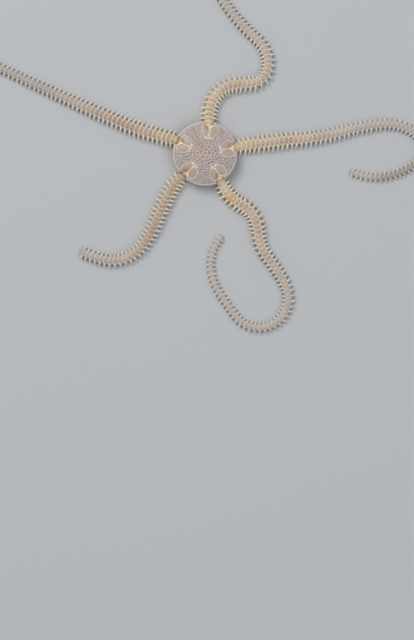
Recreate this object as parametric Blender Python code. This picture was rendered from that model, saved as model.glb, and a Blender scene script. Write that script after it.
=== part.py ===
"""A life-size brittle star lying on its mouth side, with its five arms spread in the plane of the floor.

The frame is +Z up, with the origin in the middle of the star's footprint, on the floor.
Sizes are in millimetres and are turned into metres where the meshes are made.
"""

import math
import random
from dataclasses import dataclass

import bmesh
import bpy
import numpy as np
from mathutils import Matrix, Vector

MM = 0.001
GAP = 0.3  # kept between pieces that touch
SEED = 20

# The disc, measured from its centre
DISC_RADIUS = 6.0
DISC_TOP = 3.5
RIM_HEIGHT = 2.35
CAP_UNDERSIDE = 1.92
SKIRT_BOTTOM = 1.0  # the rim hangs this low between the arms
SKIRT_INNER = 5.4
NOTCH_DEPTH = 0.7  # where each arm enters the rim
NOTCH_WIDTH = 1.9
BELLY_TOP = CAP_UNDERSIDE - GAP
BELLY_INNER = 3.05
BELLY_LOWEST = 0.28
BELLY_STEPS = 6

# Plates raised on the disc
PLATE_HEIGHT = 0.36
PLATE_PROUD = 0.15
SHIELD_LENGTH = 2.25
SHIELD_WIDTH = 1.34
SHIELD_RADIUS_OUT = 4.2
SHIELD_SIDE = 0.7
SHIELD_TURN = 9.0  # each pair draws together towards the middle of the disc
ROSETTE_RADIUS_OUT = 1.25
ROSETTE_PLATE = 0.95

# The mouth
JAW_TIP = 0.32
SLIT_END = 1.4
JAW_END = 2.72
JAW_BOTTOM = 0.12
JAW_TOP = BELLY_TOP
ORAL_SHIELD_LENGTH = 1.0
ORAL_SHIELD_WIDTH = 1.15
ORAL_SHIELD_OUT = 2.05
PAPILLA = 0.36

# The arms
ARM_START = 1.7  # from the disc's centre, at the mouth
SEGMENT = 0.88
WIDTH_AT = ((1.7, 0.6), (2.6, 1.3), (4.0, 1.9), (6.0, 1.95), (12.0, 2.0), (20.0, 1.8),
            (29.0, 1.55), (36.0, 1.4), (48.0, 1.15), (60.0, 1.0))
HEIGHT_SHARE = 0.82
WHOLE_TIP = 0.6  # width of a tip that isn't broken off
WHOLE_TIP_TAPER = 9.0
# Half of an arm's section, from the flat sole to the crown, as shares of half its width and of its height
HALF_SECTION = ((0.62, 0.0), (1.0, 0.3), (0.82, 0.78), (0.0, 1.0))
ROUTE_STEP = 0.1
BEND_BLEND = 1.6
SHARP_BEND = 0.05  # radians per millimetre, past which every segment has a ring of its own

# The spines
SPINE_THICK = 0.46
SPINE_TO_ARM = 0.42  # most of the arm's height that a spine takes up
SPINE_SUNK = 0.42
SPINE_SUNK_SHARE = 0.6  # most of half the arm's width that its root goes in
SPINE_CLEARANCE = 0.04  # above the floor
SHOULDER = 0.66  # share of the arm's height above which its side leans in
SPINES_FROM = 6.5
SPINE_LENGTH_AT = ((6.5, 0.95), (10.0, 1.1), (24.0, 0.98), (40.0, 0.8), (60.0, 0.62))
# Height on the side of the arm, rise and lean towards the tip, in degrees, taken in turn along the arm
SPINE_ROWS = ((0.46, 6.0, -12.0), (0.76, 36.0, 16.0), (0.44, 4.0, -10.0), (0.3, -4.0, 18.0))


@dataclass
class Arm:
    """One arm: its place round the disc, its bends as (distance, heading) pairs and where its lengths part."""

    name: str
    azimuth: float
    bends: tuple
    tip: float
    parts_at: tuple
    broken: bool


ARMS = (
    Arm("a", 82.5, ((6.9, 89.5), (9.7, 66.5), (12.2, 43), (14.8, 10), (17.3, 1.5), (19.4, 16),
                    (21.3, 59.5), (23.2, 84.5), (25.1, 106), (27.0, 121.5), (29.0, 138.5), (34.6, 130),
                    (43, 112), (51, 118), (60, 145)),
        60.0, (11.4, 18.4, 22.8, 30.8, 41.4, 51.0), False),
    Arm("b", 13.0, ((7.4, 9), (10.4, 5.5), (13.5, 8), (16.6, 3.5), (19.8, 7.5), (26.2, 15.5),
                    (29.4, 11), (32.5, 8.5), (35.3, -5.5), (38.1, -26), (39.6, -35.5), (46.7, -146),
                    (50.0, -159.5), (52.6, -171), (55.2, -188.5), (57.7, -197.5)),
        59.1, (12.2, 23.8, 34.2, 41.4, 46.6), True),
    Arm("c", -60.0, ((7.1, -63.5), (9.5, -41.5), (11.7, -29), (14.0, -49.5), (16.1, -74.5),
                     (18.2, -85), (20.3, -71.5), (22.4, -54), (24.8, -54), (27.4, -59.5), (29.7, -69),
                     (45.3, -233.5), (50.4, -237), (54.6, -259.5), (58.7, -290), (60.8, -309.5)),
        62.0, (11.4, 18.4, 29.0, 34.4, 39.6, 44.8, 52.8), True),
    Arm("d", 224.5, ((6.7, 222.5), (9.3, 241), (11.7, 244.5), (14.0, 248.5), (16.7, 245),
                     (19.4, 239.5), (22.2, 222), (24.6, 204), (26.7, 184.5), (28.8, 167.5),
                     (30.7, 160.5), (32.6, 158)),
        33.5, (12.2, 21.8, 27.4), True),
    Arm("e", 154.5, ((7.2, 165.5), (12.5, 162.5), (16.0, 157), (28.0, 155.5), (41.0, 154.5),
                     (50.0, 166), (60.0, 186)),
        60.0, (13.0, 24.4, 36.0, 48.4), False),
)

MATERIALS = {
    "scaled_disc": ((0.56, 0.50, 0.47), 0.5),
    "arm_plates": ((0.62, 0.53, 0.43), 0.5),
    "pink_skin": ((0.62, 0.36, 0.31), 0.55),
    "jaw_plates": ((0.60, 0.48, 0.34), 0.5),
}


def clear_scene():
    """Removes whatever the startup scene holds."""
    for obj in list(bpy.data.objects):
        bpy.data.objects.remove(obj)


def material(name):
    """The named finish, made the first time it is asked for."""
    found = bpy.data.materials.get(name)
    if found:
        return found
    colour, roughness = MATERIALS[name]
    made = bpy.data.materials.new(name)
    made.use_nodes = True
    shader = made.node_tree.nodes["Principled BSDF"]
    shader.inputs["Base Color"].default_value = (*colour, 1.0)
    shader.inputs["Roughness"].default_value = roughness
    shader.inputs["Metallic"].default_value = 0.0
    made.diffuse_color = (*colour, 1.0)
    return made


def add_object(name, mesh, collection, finish=None):
    """A mesh as an object of that collection."""
    obj = bpy.data.objects.new(name, mesh)
    collection.objects.link(obj)
    if finish:
        mesh.materials.append(material(finish))
    return obj


def mesh_from(bm, name):
    """Turns a bmesh into a mesh whose faces point out, and frees it."""
    bmesh.ops.recalc_face_normals(bm, faces=bm.faces)
    mesh = bpy.data.meshes.new(name)
    bm.to_mesh(mesh)
    bm.free()
    return mesh


def loft(rings, name):
    """A closed skin through rings of points in millimetres, each ring having the same number of points."""
    bm = bmesh.new()
    rows = [[bm.verts.new(Vector(point) * MM) for point in ring] for ring in rings]
    for first, second in zip(rows, rows[1:]):
        count = len(first)
        for i in range(count):
            j = (i + 1) % count
            bm.faces.new((first[i], first[j], second[j], second[i]))
    bm.faces.new(rows[0])
    bm.faces.new(rows[-1])
    return mesh_from(bm, name)


def flat_pebble(name, length, width, height, place, turn, around):
    """A low domed plate: a sphere flattened to its three sizes, turned about Z and set at its place."""
    bm = bmesh.new()
    bmesh.ops.create_uvsphere(bm, u_segments=around, v_segments=4, radius=0.5)
    size = Matrix.Diagonal((length * MM, width * MM, height * MM, 1.0))
    spot = Matrix.Translation(Vector(place) * MM) @ Matrix.Rotation(math.radians(turn), 4, "Z")
    bmesh.ops.transform(bm, matrix=spot @ size, verts=bm.verts)
    return mesh_from(bm, name)


def keep_largest_surface(mesh):
    """Drops every loose closed surface but the one that encloses most."""
    bm = bmesh.new()
    bm.from_mesh(mesh)
    unseen = set(bm.faces)
    shells = []
    while unseen:
        edge_of_shell = [unseen.pop()]
        shell = list(edge_of_shell)
        while edge_of_shell:
            for edge in edge_of_shell.pop().edges:
                for face in edge.link_faces:
                    if face in unseen:
                        unseen.discard(face)
                        edge_of_shell.append(face)
                        shell.append(face)
        shells.append(shell)

    def enclosed(shell):
        """The volume inside a shell, from the tetrahedra that its triangles make with the origin."""
        total = 0.0
        for face in shell:
            corners = [v.co for v in face.verts]
            for b, c in zip(corners[1:], corners[2:]):
                total += corners[0].dot(b.cross(c)) / 6.0
        return total

    shells.sort(key=enclosed)
    loose = [face for shell in shells[:-1] for face in shell]
    bmesh.ops.delete(bm, geom=loose, context="FACES")
    bm.to_mesh(mesh)
    bm.free()


def fuse(obj, meshes):
    """Joins closed meshes to an object in one Boolean union and applies it."""
    joined = bpy.data.collections.new(obj.name + "_pieces")
    bpy.context.scene.collection.children.link(joined)
    pieces = [add_object(f"{obj.name}_piece_{i}", mesh, joined) for i, mesh in enumerate(meshes)]
    union = obj.modifiers.new("Union", "BOOLEAN")
    union.operation = "UNION"
    union.operand_type = "COLLECTION"
    union.collection = joined
    union.solver = "EXACT"
    bpy.context.view_layer.update()
    graph = bpy.context.evaluated_depsgraph_get()
    whole = bpy.data.meshes.new_from_object(obj.evaluated_get(graph))
    obj.modifiers.clear()
    plain = obj.data
    obj.data = whole
    whole.name = obj.name
    bpy.data.meshes.remove(plain)
    for piece in pieces:
        spent = piece.data
        bpy.data.objects.remove(piece)
        bpy.data.meshes.remove(spent)
    bpy.data.collections.remove(joined)
    keep_largest_surface(whole)


class Route:
    """The centre line of an arm: headings between the bends are blended, and the points follow from them."""

    def __init__(self, arm):
        steps = int(round(arm.tip / ROUTE_STEP)) + 1
        self.distance = np.linspace(0.0, arm.tip, steps)
        marks = [0.0, 4.5, *[mark for mark, _ in arm.bends]]
        headings = [arm.azimuth, arm.azimuth, *[heading for _, heading in arm.bends]]
        heading = np.interp(self.distance, marks, headings)
        window = int(BEND_BLEND / ROUTE_STEP) // 2 * 2 + 1
        padded = np.pad(heading, window // 2, mode="edge")
        self.heading = np.radians(np.convolve(padded, np.ones(window) / window, mode="valid"))
        step = self.distance[1] - self.distance[0]
        middle = (self.heading[1:] + self.heading[:-1]) / 2
        self.x = np.concatenate(([0.0], np.cumsum(np.cos(middle) * step)))
        self.y = np.concatenate(([0.0], np.cumsum(np.sin(middle) * step)))
        self.bend = np.gradient(self.heading, step)

    def at(self, distance):
        """The point, the direction ahead and the direction to the left at a distance from the disc's centre."""
        point = Vector((np.interp(distance, self.distance, self.x), np.interp(distance, self.distance, self.y), 0.0))
        heading = np.interp(distance, self.distance, self.heading)
        ahead = Vector((math.cos(heading), math.sin(heading), 0.0))
        return point, ahead, Vector((-ahead.y, ahead.x, 0.0))

    def bend_at(self, distance):
        """How fast the arm turns left, in radians per millimetre."""
        return float(np.interp(distance, self.distance, self.bend))


def arm_width(arm, distance):
    """The arm's width without its spines."""
    width = float(np.interp(distance, *zip(*WIDTH_AT)))
    if not arm.broken:
        share = min(1.0, (arm.tip - distance) / WHOLE_TIP_TAPER)
        width = WHOLE_TIP + (width - WHOLE_TIP) * max(0.0, share)
    return width


def arm_section(arm, route, distance, shrink=1.0):
    """The ring of points round the arm at that distance."""
    point, _, left = route.at(distance)
    half = arm_width(arm, distance) / 2
    height = 2 * half * HEIGHT_SHARE
    right_side = [point - left * half * side * shrink + Vector((0, 0, height * rise * (shrink if rise else 1)))
                  for side, rise in HALF_SECTION]
    left_side = [point + left * half * side * shrink + Vector((0, 0, height * rise * (shrink if rise else 1)))
                 for side, rise in reversed(HALF_SECTION[:-1])]
    return right_side + left_side


def spine(root, direction, length, thick, sunk):
    """A four-sided spine, that thick where it leaves the arm, with its root sunk in it."""
    bm = bmesh.new()
    whole = length + sunk
    corner = thick / math.sqrt(2) * whole / length
    bmesh.ops.create_cone(bm, cap_ends=True, segments=4, radius1=corner * MM, radius2=0.0, depth=whole * MM)
    bmesh.ops.remove_doubles(bm, verts=bm.verts, dist=0.001 * MM)
    turn = direction.to_track_quat("Z", "Y").to_matrix().to_4x4()
    middle = (root + direction * (length - sunk) / 2) * MM
    flat_side_down = Matrix.Rotation(math.radians(45), 4, "Z")
    bmesh.ops.transform(bm, matrix=Matrix.Translation(middle) @ turn @ flat_side_down, verts=bm.verts)
    return mesh_from(bm, "spine")


def spines_between(arm, route, start, end, count_from, draw):
    """The spines of the segments between two distances, one a side and segment, in the rows' turn."""
    made = []
    number = count_from
    for segment in range(int(round((end - start) / SEGMENT))):
        distance = start + (segment + 0.5) * SEGMENT
        number += 1
        if distance < SPINES_FROM or distance > arm.tip - 0.3:
            continue
        point, ahead, left = route.at(distance)
        half = arm_width(arm, distance) / 2
        height = 2 * half * HEIGHT_SHARE
        thick = min(SPINE_THICK, height * SPINE_TO_ARM)
        sunk = min(SPINE_SUNK, half * SPINE_SUNK_SHARE)
        for side in (1, -1):
            share, rise, lean = SPINE_ROWS[(number + (side < 0)) % len(SPINE_ROWS)]
            length = float(np.interp(distance, *zip(*SPINE_LENGTH_AT))) * draw.uniform(0.92, 1.08)
            crowd = min(1.0, max(0.0, side * route.bend_at(distance) * (half + length)))
            length *= 1.0 - 0.4 * crowd
            lean = math.radians(lean + draw.uniform(-3, 3)) * (1.0 - crowd)
            rise = math.radians(rise + draw.uniform(-4, 4))
            out = left * side
            direction = (out * math.cos(lean) + ahead * math.sin(lean)) * math.cos(rise)
            direction.z = math.sin(rise)
            reach = half * (1.0 if share < SHOULDER else 0.84)
            lowest = thick / 2 * (length + sunk) / length + sunk * max(0.0, direction.z) + SPINE_CLEARANCE
            root = point + out * reach + Vector((0, 0, max(lowest, height * share)))
            made.append(spine(root, direction.normalized(), length, thick, sunk))
    return made


def build_arm(arm, collection, draw):
    """The arm's lengths, each from one joint between segments to another."""
    route = Route(arm)
    total = int((arm.tip - ARM_START) / SEGMENT)
    joints = [ARM_START + SEGMENT * i for i in range(total)] + [arm.tip]
    cuts = [min(joints, key=lambda joint: abs(joint - wanted)) for wanted in arm.parts_at]
    ends = [ARM_START, *cuts, arm.tip]
    count = 0
    for number, (start, end) in enumerate(zip(ends, ends[1:]), 1):
        first = start if start == ARM_START else start + GAP / 2
        last = end if end == arm.tip else end - GAP / 2
        inner = [joint for i, joint in enumerate(joints)
                 if start < joint < end and (i % 2 or abs(route.bend_at(joint)) > SHARP_BEND)]
        rings = [arm_section(arm, route, first)]
        rings += [arm_section(arm, route, joint) for joint in inner]
        if end == arm.tip:
            rings[-1] = arm_section(arm, route, last - 0.25)
            rings.append(arm_section(arm, route, last, 0.72))
        else:
            rings.append(arm_section(arm, route, last))
        obj = add_object(f"arm_{arm.name}_{number}", loft(rings, "arm"), collection, "arm_plates")
        spines = spines_between(arm, route, start, end, count, draw)
        count += int(round((end - start) / SEGMENT))
        if spines:
            fuse(obj, spines)


def sectors():
    """Pairs of neighbouring arm azimuths, each as (first, next) in degrees with the second above the first."""
    azimuths = sorted(arm.azimuth % 360 for arm in ARMS)
    return list(zip(azimuths, azimuths[1:] + [azimuths[0] + 360]))


def round_the_disc():
    """(angle, share of the notch, share of the hanging rim) round the disc, finer where the arms enter."""
    notch_edge = math.degrees(math.atan(NOTCH_WIDTH / 2 / DISC_RADIUS))
    points = []
    for first, second in sectors():
        near = [(0.0, 1.0, 0.0), (notch_edge * 0.5, 0.5, 0.0), (notch_edge, 0.08, 0.0),
                (notch_edge * 1.6, 0.0, 0.0)]
        span = second - first
        plain = [(span * share, 0.0, hang) for share, hang in ((0.29, 0.9), (0.4, 1.0), (0.6, 1.0), (0.71, 0.9))]
        far = [(span - angle, notch, hang) for angle, notch, hang in reversed(near[1:])]
        points += [(first + angle, notch, hang) for angle, notch, hang in near + plain + far]
    return points


def disc_ring(radius, height, notched, hang=0.0):
    """A ring of the disc's cap, drawn in at the arms by a share of the notch and hanging between them."""
    ring = []
    for angle, notch, between in round_the_disc():
        reach = radius - NOTCH_DEPTH * notch * notched
        turn = math.radians(angle)
        ring.append((reach * math.cos(turn), reach * math.sin(turn), height - hang * between))
    return ring


def dome_height(radius):
    """The height of the cap's upper face at a radius: nearly flat, falling away to the rim."""
    return RIM_HEIGHT + 0.3 + (DISC_TOP - RIM_HEIGHT - 0.3) * (1 - (radius / DISC_RADIUS) ** 2.2) ** 0.8


def build_disc(collection):
    """The scaled cap of the disc, with its radial shields and the rosette of plates in its middle."""
    hang = CAP_UNDERSIDE - SKIRT_BOTTOM
    rings = [disc_ring(SKIRT_INNER - 0.05, CAP_UNDERSIDE, 1.0),
             disc_ring(SKIRT_INNER, CAP_UNDERSIDE, 1.0, hang),
             disc_ring(DISC_RADIUS - 0.3, CAP_UNDERSIDE, 1.0, hang),
             disc_ring(DISC_RADIUS - 0.06, CAP_UNDERSIDE + 0.1, 1.0, hang * 0.8),
             disc_ring(DISC_RADIUS, RIM_HEIGHT, 1.0),
             disc_ring(DISC_RADIUS - 0.12, RIM_HEIGHT + 0.3, 1.0)]
    rings += [disc_ring(radius, dome_height(radius), notched)
              for radius, notched in ((5.3, 0.6), (4.3, 0.0), (2.8, 0.0), (1.0, 0.0))]
    disc = add_object("disc", loft(rings, "disc"), collection, "scaled_disc")
    plates = []
    for arm in ARMS:
        turn = math.radians(arm.azimuth)
        out = Vector((math.cos(turn), math.sin(turn), 0))
        left = Vector((-out.y, out.x, 0))
        for side in (1, -1):
            place = out * SHIELD_RADIUS_OUT + left * SHIELD_SIDE * side
            place.z = dome_height(SHIELD_RADIUS_OUT) - PLATE_HEIGHT / 2 + PLATE_PROUD
            plates.append(flat_pebble("shield", SHIELD_LENGTH, SHIELD_WIDTH, PLATE_HEIGHT, place,
                                      arm.azimuth + side * SHIELD_TURN, 10))
        place = out * ROSETTE_RADIUS_OUT
        place.z = dome_height(ROSETTE_RADIUS_OUT) - PLATE_HEIGHT / 2 + PLATE_PROUD
        plates.append(flat_pebble("rosette", ROSETTE_PLATE, ROSETTE_PLATE, PLATE_HEIGHT, place, arm.azimuth, 8))
    middle = Vector((0, 0, dome_height(0) - PLATE_HEIGHT / 2 + PLATE_PROUD))
    plates.append(flat_pebble("centre_plate", ROSETTE_PLATE, ROSETTE_PLATE, PLATE_HEIGHT, middle, 0, 8))
    fuse(disc, plates)


def beside_arm(arm, distance, clearance, height):
    """Points to the left and right of an arm's side, at a distance along it, with a clearance."""
    turn = math.radians(arm.azimuth)
    out = Vector((math.cos(turn), math.sin(turn), 0))
    left = Vector((-out.y, out.x, 0))
    offset = arm_width(arm, distance) / 2 + clearance
    return [out * distance + left * offset * side + Vector((0, 0, height)) for side in (1, -1)]


def arm_at(azimuth):
    """The arm whose azimuth that is."""
    return next(arm for arm in ARMS if abs((arm.azimuth - azimuth + 180) % 360 - 180) < 1e-6)


def belly_row(first, second, distance, rise):
    """Points across the belly between two arms at a distance, with the height of the underside there."""
    start = beside_arm(arm_at(first), distance, GAP, 0)[0]
    stop = beside_arm(arm_at(second), distance, GAP, 0)[1]
    begin = math.atan2(start.y, start.x)
    sweep = (math.atan2(stop.y, stop.x) - begin) % (2 * math.pi)
    radius = start.length
    row = []
    for step in range(BELLY_STEPS + 1):
        share = step / BELLY_STEPS
        bulge = math.sin(math.pi * share) ** 0.6
        angle = begin + sweep * share
        low = rise + (BELLY_TOP - rise) * 0.3 * (1 - bulge)
        row.append((radius * math.cos(angle), radius * math.sin(angle), low))
    return row


def build_bellies(collection):
    """The soft pink pads of the underside, one between each two arms."""
    outer = SKIRT_INNER - GAP
    profile = ((BELLY_INNER, 0.62), (3.6, BELLY_LOWEST + 0.06), (4.3, BELLY_LOWEST), (4.8, 0.45),
               (outer - 0.12, 0.75), (outer, 1.1))
    for number, (first, second) in enumerate(sectors(), 1):
        rings = []
        for distance, low in profile:
            under = belly_row(first, second, distance, low)
            above = [(x, y, BELLY_TOP) for x, y, _ in reversed(under)]
            rings.append(under + above)
        add_object(f"belly_{number}", loft(rings, "belly"), collection, "pink_skin")


def jaw_outline(first, second):
    """The plan of one jaw: a wedge from the mouth's middle, drawn in beside the arms, then its outer plate."""
    middle = math.radians((first + second) / 2)
    half = math.radians((second - first) / 2)
    along = Vector((math.cos(middle), math.sin(middle), 0))
    across = Vector((-along.y, along.x, 0))

    def beside_slit(distance, offset):
        """A point at a distance along the slit's line, set in from it towards the jaw."""
        return (distance * math.cos(half) + offset * math.sin(half),
                distance * math.sin(half) - offset * math.cos(half))

    side = [(JAW_TIP, 0.06), beside_slit(SLIT_END * 0.6, GAP / 2), beside_slit(SLIT_END, GAP / 2),
            beside_slit(ARM_START + 0.02, 0.3 + GAP), beside_slit(2.2, 0.5 + GAP), beside_slit(2.55, 0.64 + GAP)]
    outer = [(JAW_END, 0.45)]
    one_side = side + outer
    plan = one_side + [(x, -y) for x, y in reversed(one_side)]
    return [along * x + across * y for x, y in plan], along


def build_jaws(collection):
    """The five jaws round the mouth, each with its outer shield and a row of papillae beside each slit."""
    for number, (first, second) in enumerate(sectors(), 1):
        plan, along = jaw_outline(first, second)
        centre = along * 1.5
        rings = []
        for shrink, height in ((0.86, JAW_BOTTOM), (1.0, JAW_BOTTOM + 0.16), (1.0, JAW_TOP)):
            rings.append([centre + (point - centre) * shrink + Vector((0, 0, height)) for point in plan])
        jaw = add_object(f"jaw_{number}", loft(rings, "jaw"), collection, "jaw_plates")
        turn = (first + second) / 2
        place = along * ORAL_SHIELD_OUT + Vector((0, 0, JAW_BOTTOM + 0.1))
        pieces = [flat_pebble("oral_shield", ORAL_SHIELD_LENGTH, ORAL_SHIELD_WIDTH, 0.4, place, turn, 10)]
        across = Vector((-along.y, along.x, 0))
        for out, aside in ((0.62, 0.2), (1.0, 0.42)):
            for side in (1, -1):
                place = along * out + across * aside * side + Vector((0, 0, JAW_BOTTOM + 0.1))
                pieces.append(flat_pebble("papilla", PAPILLA, PAPILLA, 0.34, place, turn, 6))
        fuse(jaw, pieces)


def centre_on_footprint(collection):
    """Moves the whole star so that the origin is in the middle of its footprint."""
    corners = np.array([obj.matrix_world @ Vector(corner) for obj in collection.objects for corner in obj.bound_box])
    middle = (corners.min(axis=0) + corners.max(axis=0)) / 2
    for obj in collection.objects:
        obj.location = (-middle[0], -middle[1], 0.0)


def main():
    """Builds the star."""
    clear_scene()
    star = bpy.data.collections.new("brittle_star")
    bpy.context.scene.collection.children.link(star)
    draw = random.Random(SEED)
    build_disc(star)
    build_bellies(star)
    build_jaws(star)
    for arm in ARMS:
        build_arm(arm, star, draw)
    bpy.context.view_layer.update()
    centre_on_footprint(star)


main()
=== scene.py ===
"""Dresses a life-size brittle star: its scaled disc, plated arms, spines and mouth.

Lengths are in millimetres and measured from the middle of the disc. They become metres in the
model's own frame only when a mesh is filled.
"""

import logging
import math
from dataclasses import dataclass, field
from enum import Enum
from typing import Any, Sequence

import bpy
import numpy as np
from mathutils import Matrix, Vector


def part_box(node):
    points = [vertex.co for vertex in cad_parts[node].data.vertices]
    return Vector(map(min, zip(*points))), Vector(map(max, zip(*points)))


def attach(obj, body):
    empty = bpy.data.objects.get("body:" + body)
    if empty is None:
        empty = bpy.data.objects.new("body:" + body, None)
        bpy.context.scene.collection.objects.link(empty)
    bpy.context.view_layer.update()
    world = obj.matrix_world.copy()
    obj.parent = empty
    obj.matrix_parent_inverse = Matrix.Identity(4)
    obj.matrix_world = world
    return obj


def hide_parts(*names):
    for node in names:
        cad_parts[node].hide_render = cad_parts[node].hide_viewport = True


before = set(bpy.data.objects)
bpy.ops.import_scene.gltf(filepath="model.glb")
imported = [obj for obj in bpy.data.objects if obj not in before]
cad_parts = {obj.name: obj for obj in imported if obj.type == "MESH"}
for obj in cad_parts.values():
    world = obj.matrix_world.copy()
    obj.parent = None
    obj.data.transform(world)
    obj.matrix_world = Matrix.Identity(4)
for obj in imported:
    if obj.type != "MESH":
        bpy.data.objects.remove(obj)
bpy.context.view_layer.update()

MM = 0.001
Array = np.ndarray
Numbers = Array | float
Colour = tuple[float, float, float]
Span = tuple[float, float]
LOG = logging.getLogger("brittle_star")


class Slot(Enum):
    """Material slot names. Nothing in this script gives them to the pieces."""

    DISC = "scaled_disc"
    ARM = "arm_plates"
    JAW = "jaw_plates"


class Side(Enum):
    """The two sides of an arm, seen from above with its tip ahead."""

    LEFT = 1.0
    RIGHT = -1.0


SIDES = np.array([side.value for side in Side])


def srgb(red: int, green: int, blue: int) -> Colour:
    """Turns a screen colour of 0 to 255 into the linear values that shaders take.

    Args:
        red: Red, 0 to 255.
        green: Green, 0 to 255.
        blue: Blue, 0 to 255.

    Returns:
        The linear colour. Formula: ((c + 0.055) / 1.055) to the power of 2.4.
    """
    share = (np.array([red, green, blue]) / 255.0 + 0.055) / 1.055
    return tuple(float(value) for value in share ** 2.4)


def smooth(value: Array, low: float, high: float) -> Array:
    """A smooth step, 0 at low and 1 at high, whichever is the greater: 3 t squared less 2 t cubed."""
    share = np.clip((value - low) / (high - low), 0.0, 1.0)
    return share * share * (3.0 - 2.0 * share)


def bell(value: Array, middle: float, width: float) -> Array:
    """A bell of height 1: e to the power of minus the square of (value less middle) over width."""
    return np.exp(-((value - middle) / width) ** 2)


def signed_power(value: Array, power: float) -> Array:
    """The size of the value to that power, with the value's sign."""
    return np.sign(value) * np.abs(value) ** power


def running_total(steps: Array | Sequence[int]) -> Array:
    """0, and then the total of the steps so far."""
    return np.concatenate(([0.0], np.cumsum(steps)))


def round_turns(count: int) -> Array:
    """That many angles, spaced evenly round a full turn."""
    return np.linspace(0.0, 2 * math.pi, count, endpoint=False)


def wrapped(angle: Array) -> Array:
    """The angle less whole turns, so that it is at most half a turn either way."""
    return np.angle(np.exp(1j * angle))


def off_line(line: Array, out: Numbers, aside: Numbers) -> Array:
    """Points in plan, that far out along lines of that azimuth and that far aside to their left."""
    return np.stack([out * np.cos(line) - aside * np.sin(line),
                     out * np.sin(line) + aside * np.cos(line)], axis=-1)


def in_plan(radius: Numbers, turn: Array) -> Array:
    """Points in plan at that radius and azimuth."""
    return np.stack([radius * np.cos(turn), radius * np.sin(turn)], axis=-1)


def lifted(plan: Array, height: Array) -> Array:
    """Points in plan raised to their heights."""
    return np.concatenate([plan, height[..., None]], axis=-1)


@dataclass(frozen=True)
class Spot:
    """A soft spot: a bell of one value times a bell of another.

    Attributes:
        first: The middle and the width of the bell of the first value.
        second: Those of the bell of the second value.
        strength: The spot's height.
    """

    first: Span
    second: Span
    strength: float = 1.0

    def at(self, first: Array, second: Array) -> Array:
        """The spot's height at pairs of values."""
        return self.strength * bell(first, *self.first) * bell(second, *self.second)


def disc_centre() -> Array:
    """The middle of the disc in the model's frame, in millimetres, on the floor."""
    low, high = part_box("disc")
    return np.array([(low[0] + high[0]) / 2, (low[1] + high[1]) / 2, 0.0]) / MM


def nodes_of(start: str) -> list[str]:
    """The solids whose names start that way."""
    return sorted(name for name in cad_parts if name.startswith(start))


@dataclass
class Surface:
    """Points and faces of one piece, with the values that its finish reads at each point."""

    points: Array
    faces: list[Array]
    layers: dict[str, Array] = field(default_factory=dict)
    bake_uv: Array | None = None

    def volume(self) -> float:
        """The enclosed volume: a sixth of the sum of each corner triangle's triple product.

        Returns:
            The volume, negative where the faces point inwards.
        """
        total = 0.0
        for face in self.faces:
            for k in range(1, face.shape[1] - 1):
                a, b, c = (self.points[face[:, i]] for i in (0, k, k + 1))
                total += float(np.einsum("ij,ij->", a, np.cross(b, c)))
        return total / 6.0

    def outward(self) -> "Surface":
        """Turns the faces to point out, as the sign of the volume tells.

        Returns:
            This surface.
        """
        if self.volume() < 0:
            self.faces = [face[:, ::-1] for face in self.faces]
        return self

    def to_object(self, name: str) -> bpy.types.Object:
        """Makes the piece, in metres, with its faces pointing out.

        Args:
            name: The piece's name.

        Returns:
            The object, at the origin, linked to the scene.
        """
        faces = self.outward().faces
        corners = np.concatenate([face.ravel() for face in faces]).astype(np.int32)
        totals = np.concatenate([np.full(len(face), face.shape[1]) for face in faces])
        starts = running_total(totals)[:-1].astype(np.int32)
        mesh = bpy.data.meshes.new(name)
        mesh.vertices.add(len(self.points))
        mesh.vertices.foreach_set("co", ((self.points + disc_centre()) * MM).ravel())
        mesh.loops.add(len(corners))
        mesh.loops.foreach_set("vertex_index", corners)
        mesh.polygons.add(len(totals))
        mesh.polygons.foreach_set("loop_start", starts)
        mesh.update(calc_edges=True)
        mesh.validate()
        mesh.shade_smooth()
        for layer, values in self.layers.items():
            made = mesh.attributes.new(layer, "FLOAT", "POINT")
            made.data.foreach_set("value", values.ravel().astype(np.float32))
        if self.bake_uv is not None:
            chart = mesh.uv_layers.new(name="OFBake")
            chart.data.foreach_set("uv", self.bake_uv[corners].ravel())
        piece = bpy.data.objects.new(name, mesh)
        bpy.context.scene.collection.objects.link(piece)
        return piece


def tube_faces(rows: int, columns: int) -> list[Array]:
    """The faces of a tube: quads between its rows, and a fan from a pole to each end row.

    A quad joins column j to the next one, wrapping at the end. The poles are counted after the grid's points.

    Args:
        rows: How many rows of points there are.
        columns: How many points are in a row.

    Returns:
        The quads and the triangles.
    """
    row, column = np.meshgrid(np.arange(rows - 1), np.arange(columns), indexing="ij")
    after = (column + 1) % columns
    quads = np.stack([row * columns + column, row * columns + after,
                      (row + 1) * columns + after, (row + 1) * columns + column], axis=-1)
    here, following = column[0], after[0]
    shift, pole = (rows - 1) * columns, np.full(columns, rows * columns)
    first = np.stack([pole, following, here], axis=-1)
    last = np.stack([pole + 1, shift + here, shift + following], axis=-1)
    return [quads.reshape(-1, 4), np.concatenate([first, last])]


def tube_batch(points: Array, rows: int, columns: int, layers: dict[str, Array]) -> Surface:
    """Many closed tubes in one surface, each one's faces counted on by its points.

    Args:
        points: Points as tubes, places, xyz. A tube's places are its rows and then its two poles.
        rows: How many rows of points a tube has.
        columns: How many points are in a row.
        layers: A value for every point.

    Returns:
        The surface.
    """
    count, each = points.shape[:2]
    offset = (np.arange(count) * each)[:, None, None]
    faces = [(face[None] + offset).reshape(-1, face.shape[1]) for face in tube_faces(rows, columns)]
    return Surface(points.reshape(-1, 3), faces, layers)


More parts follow.
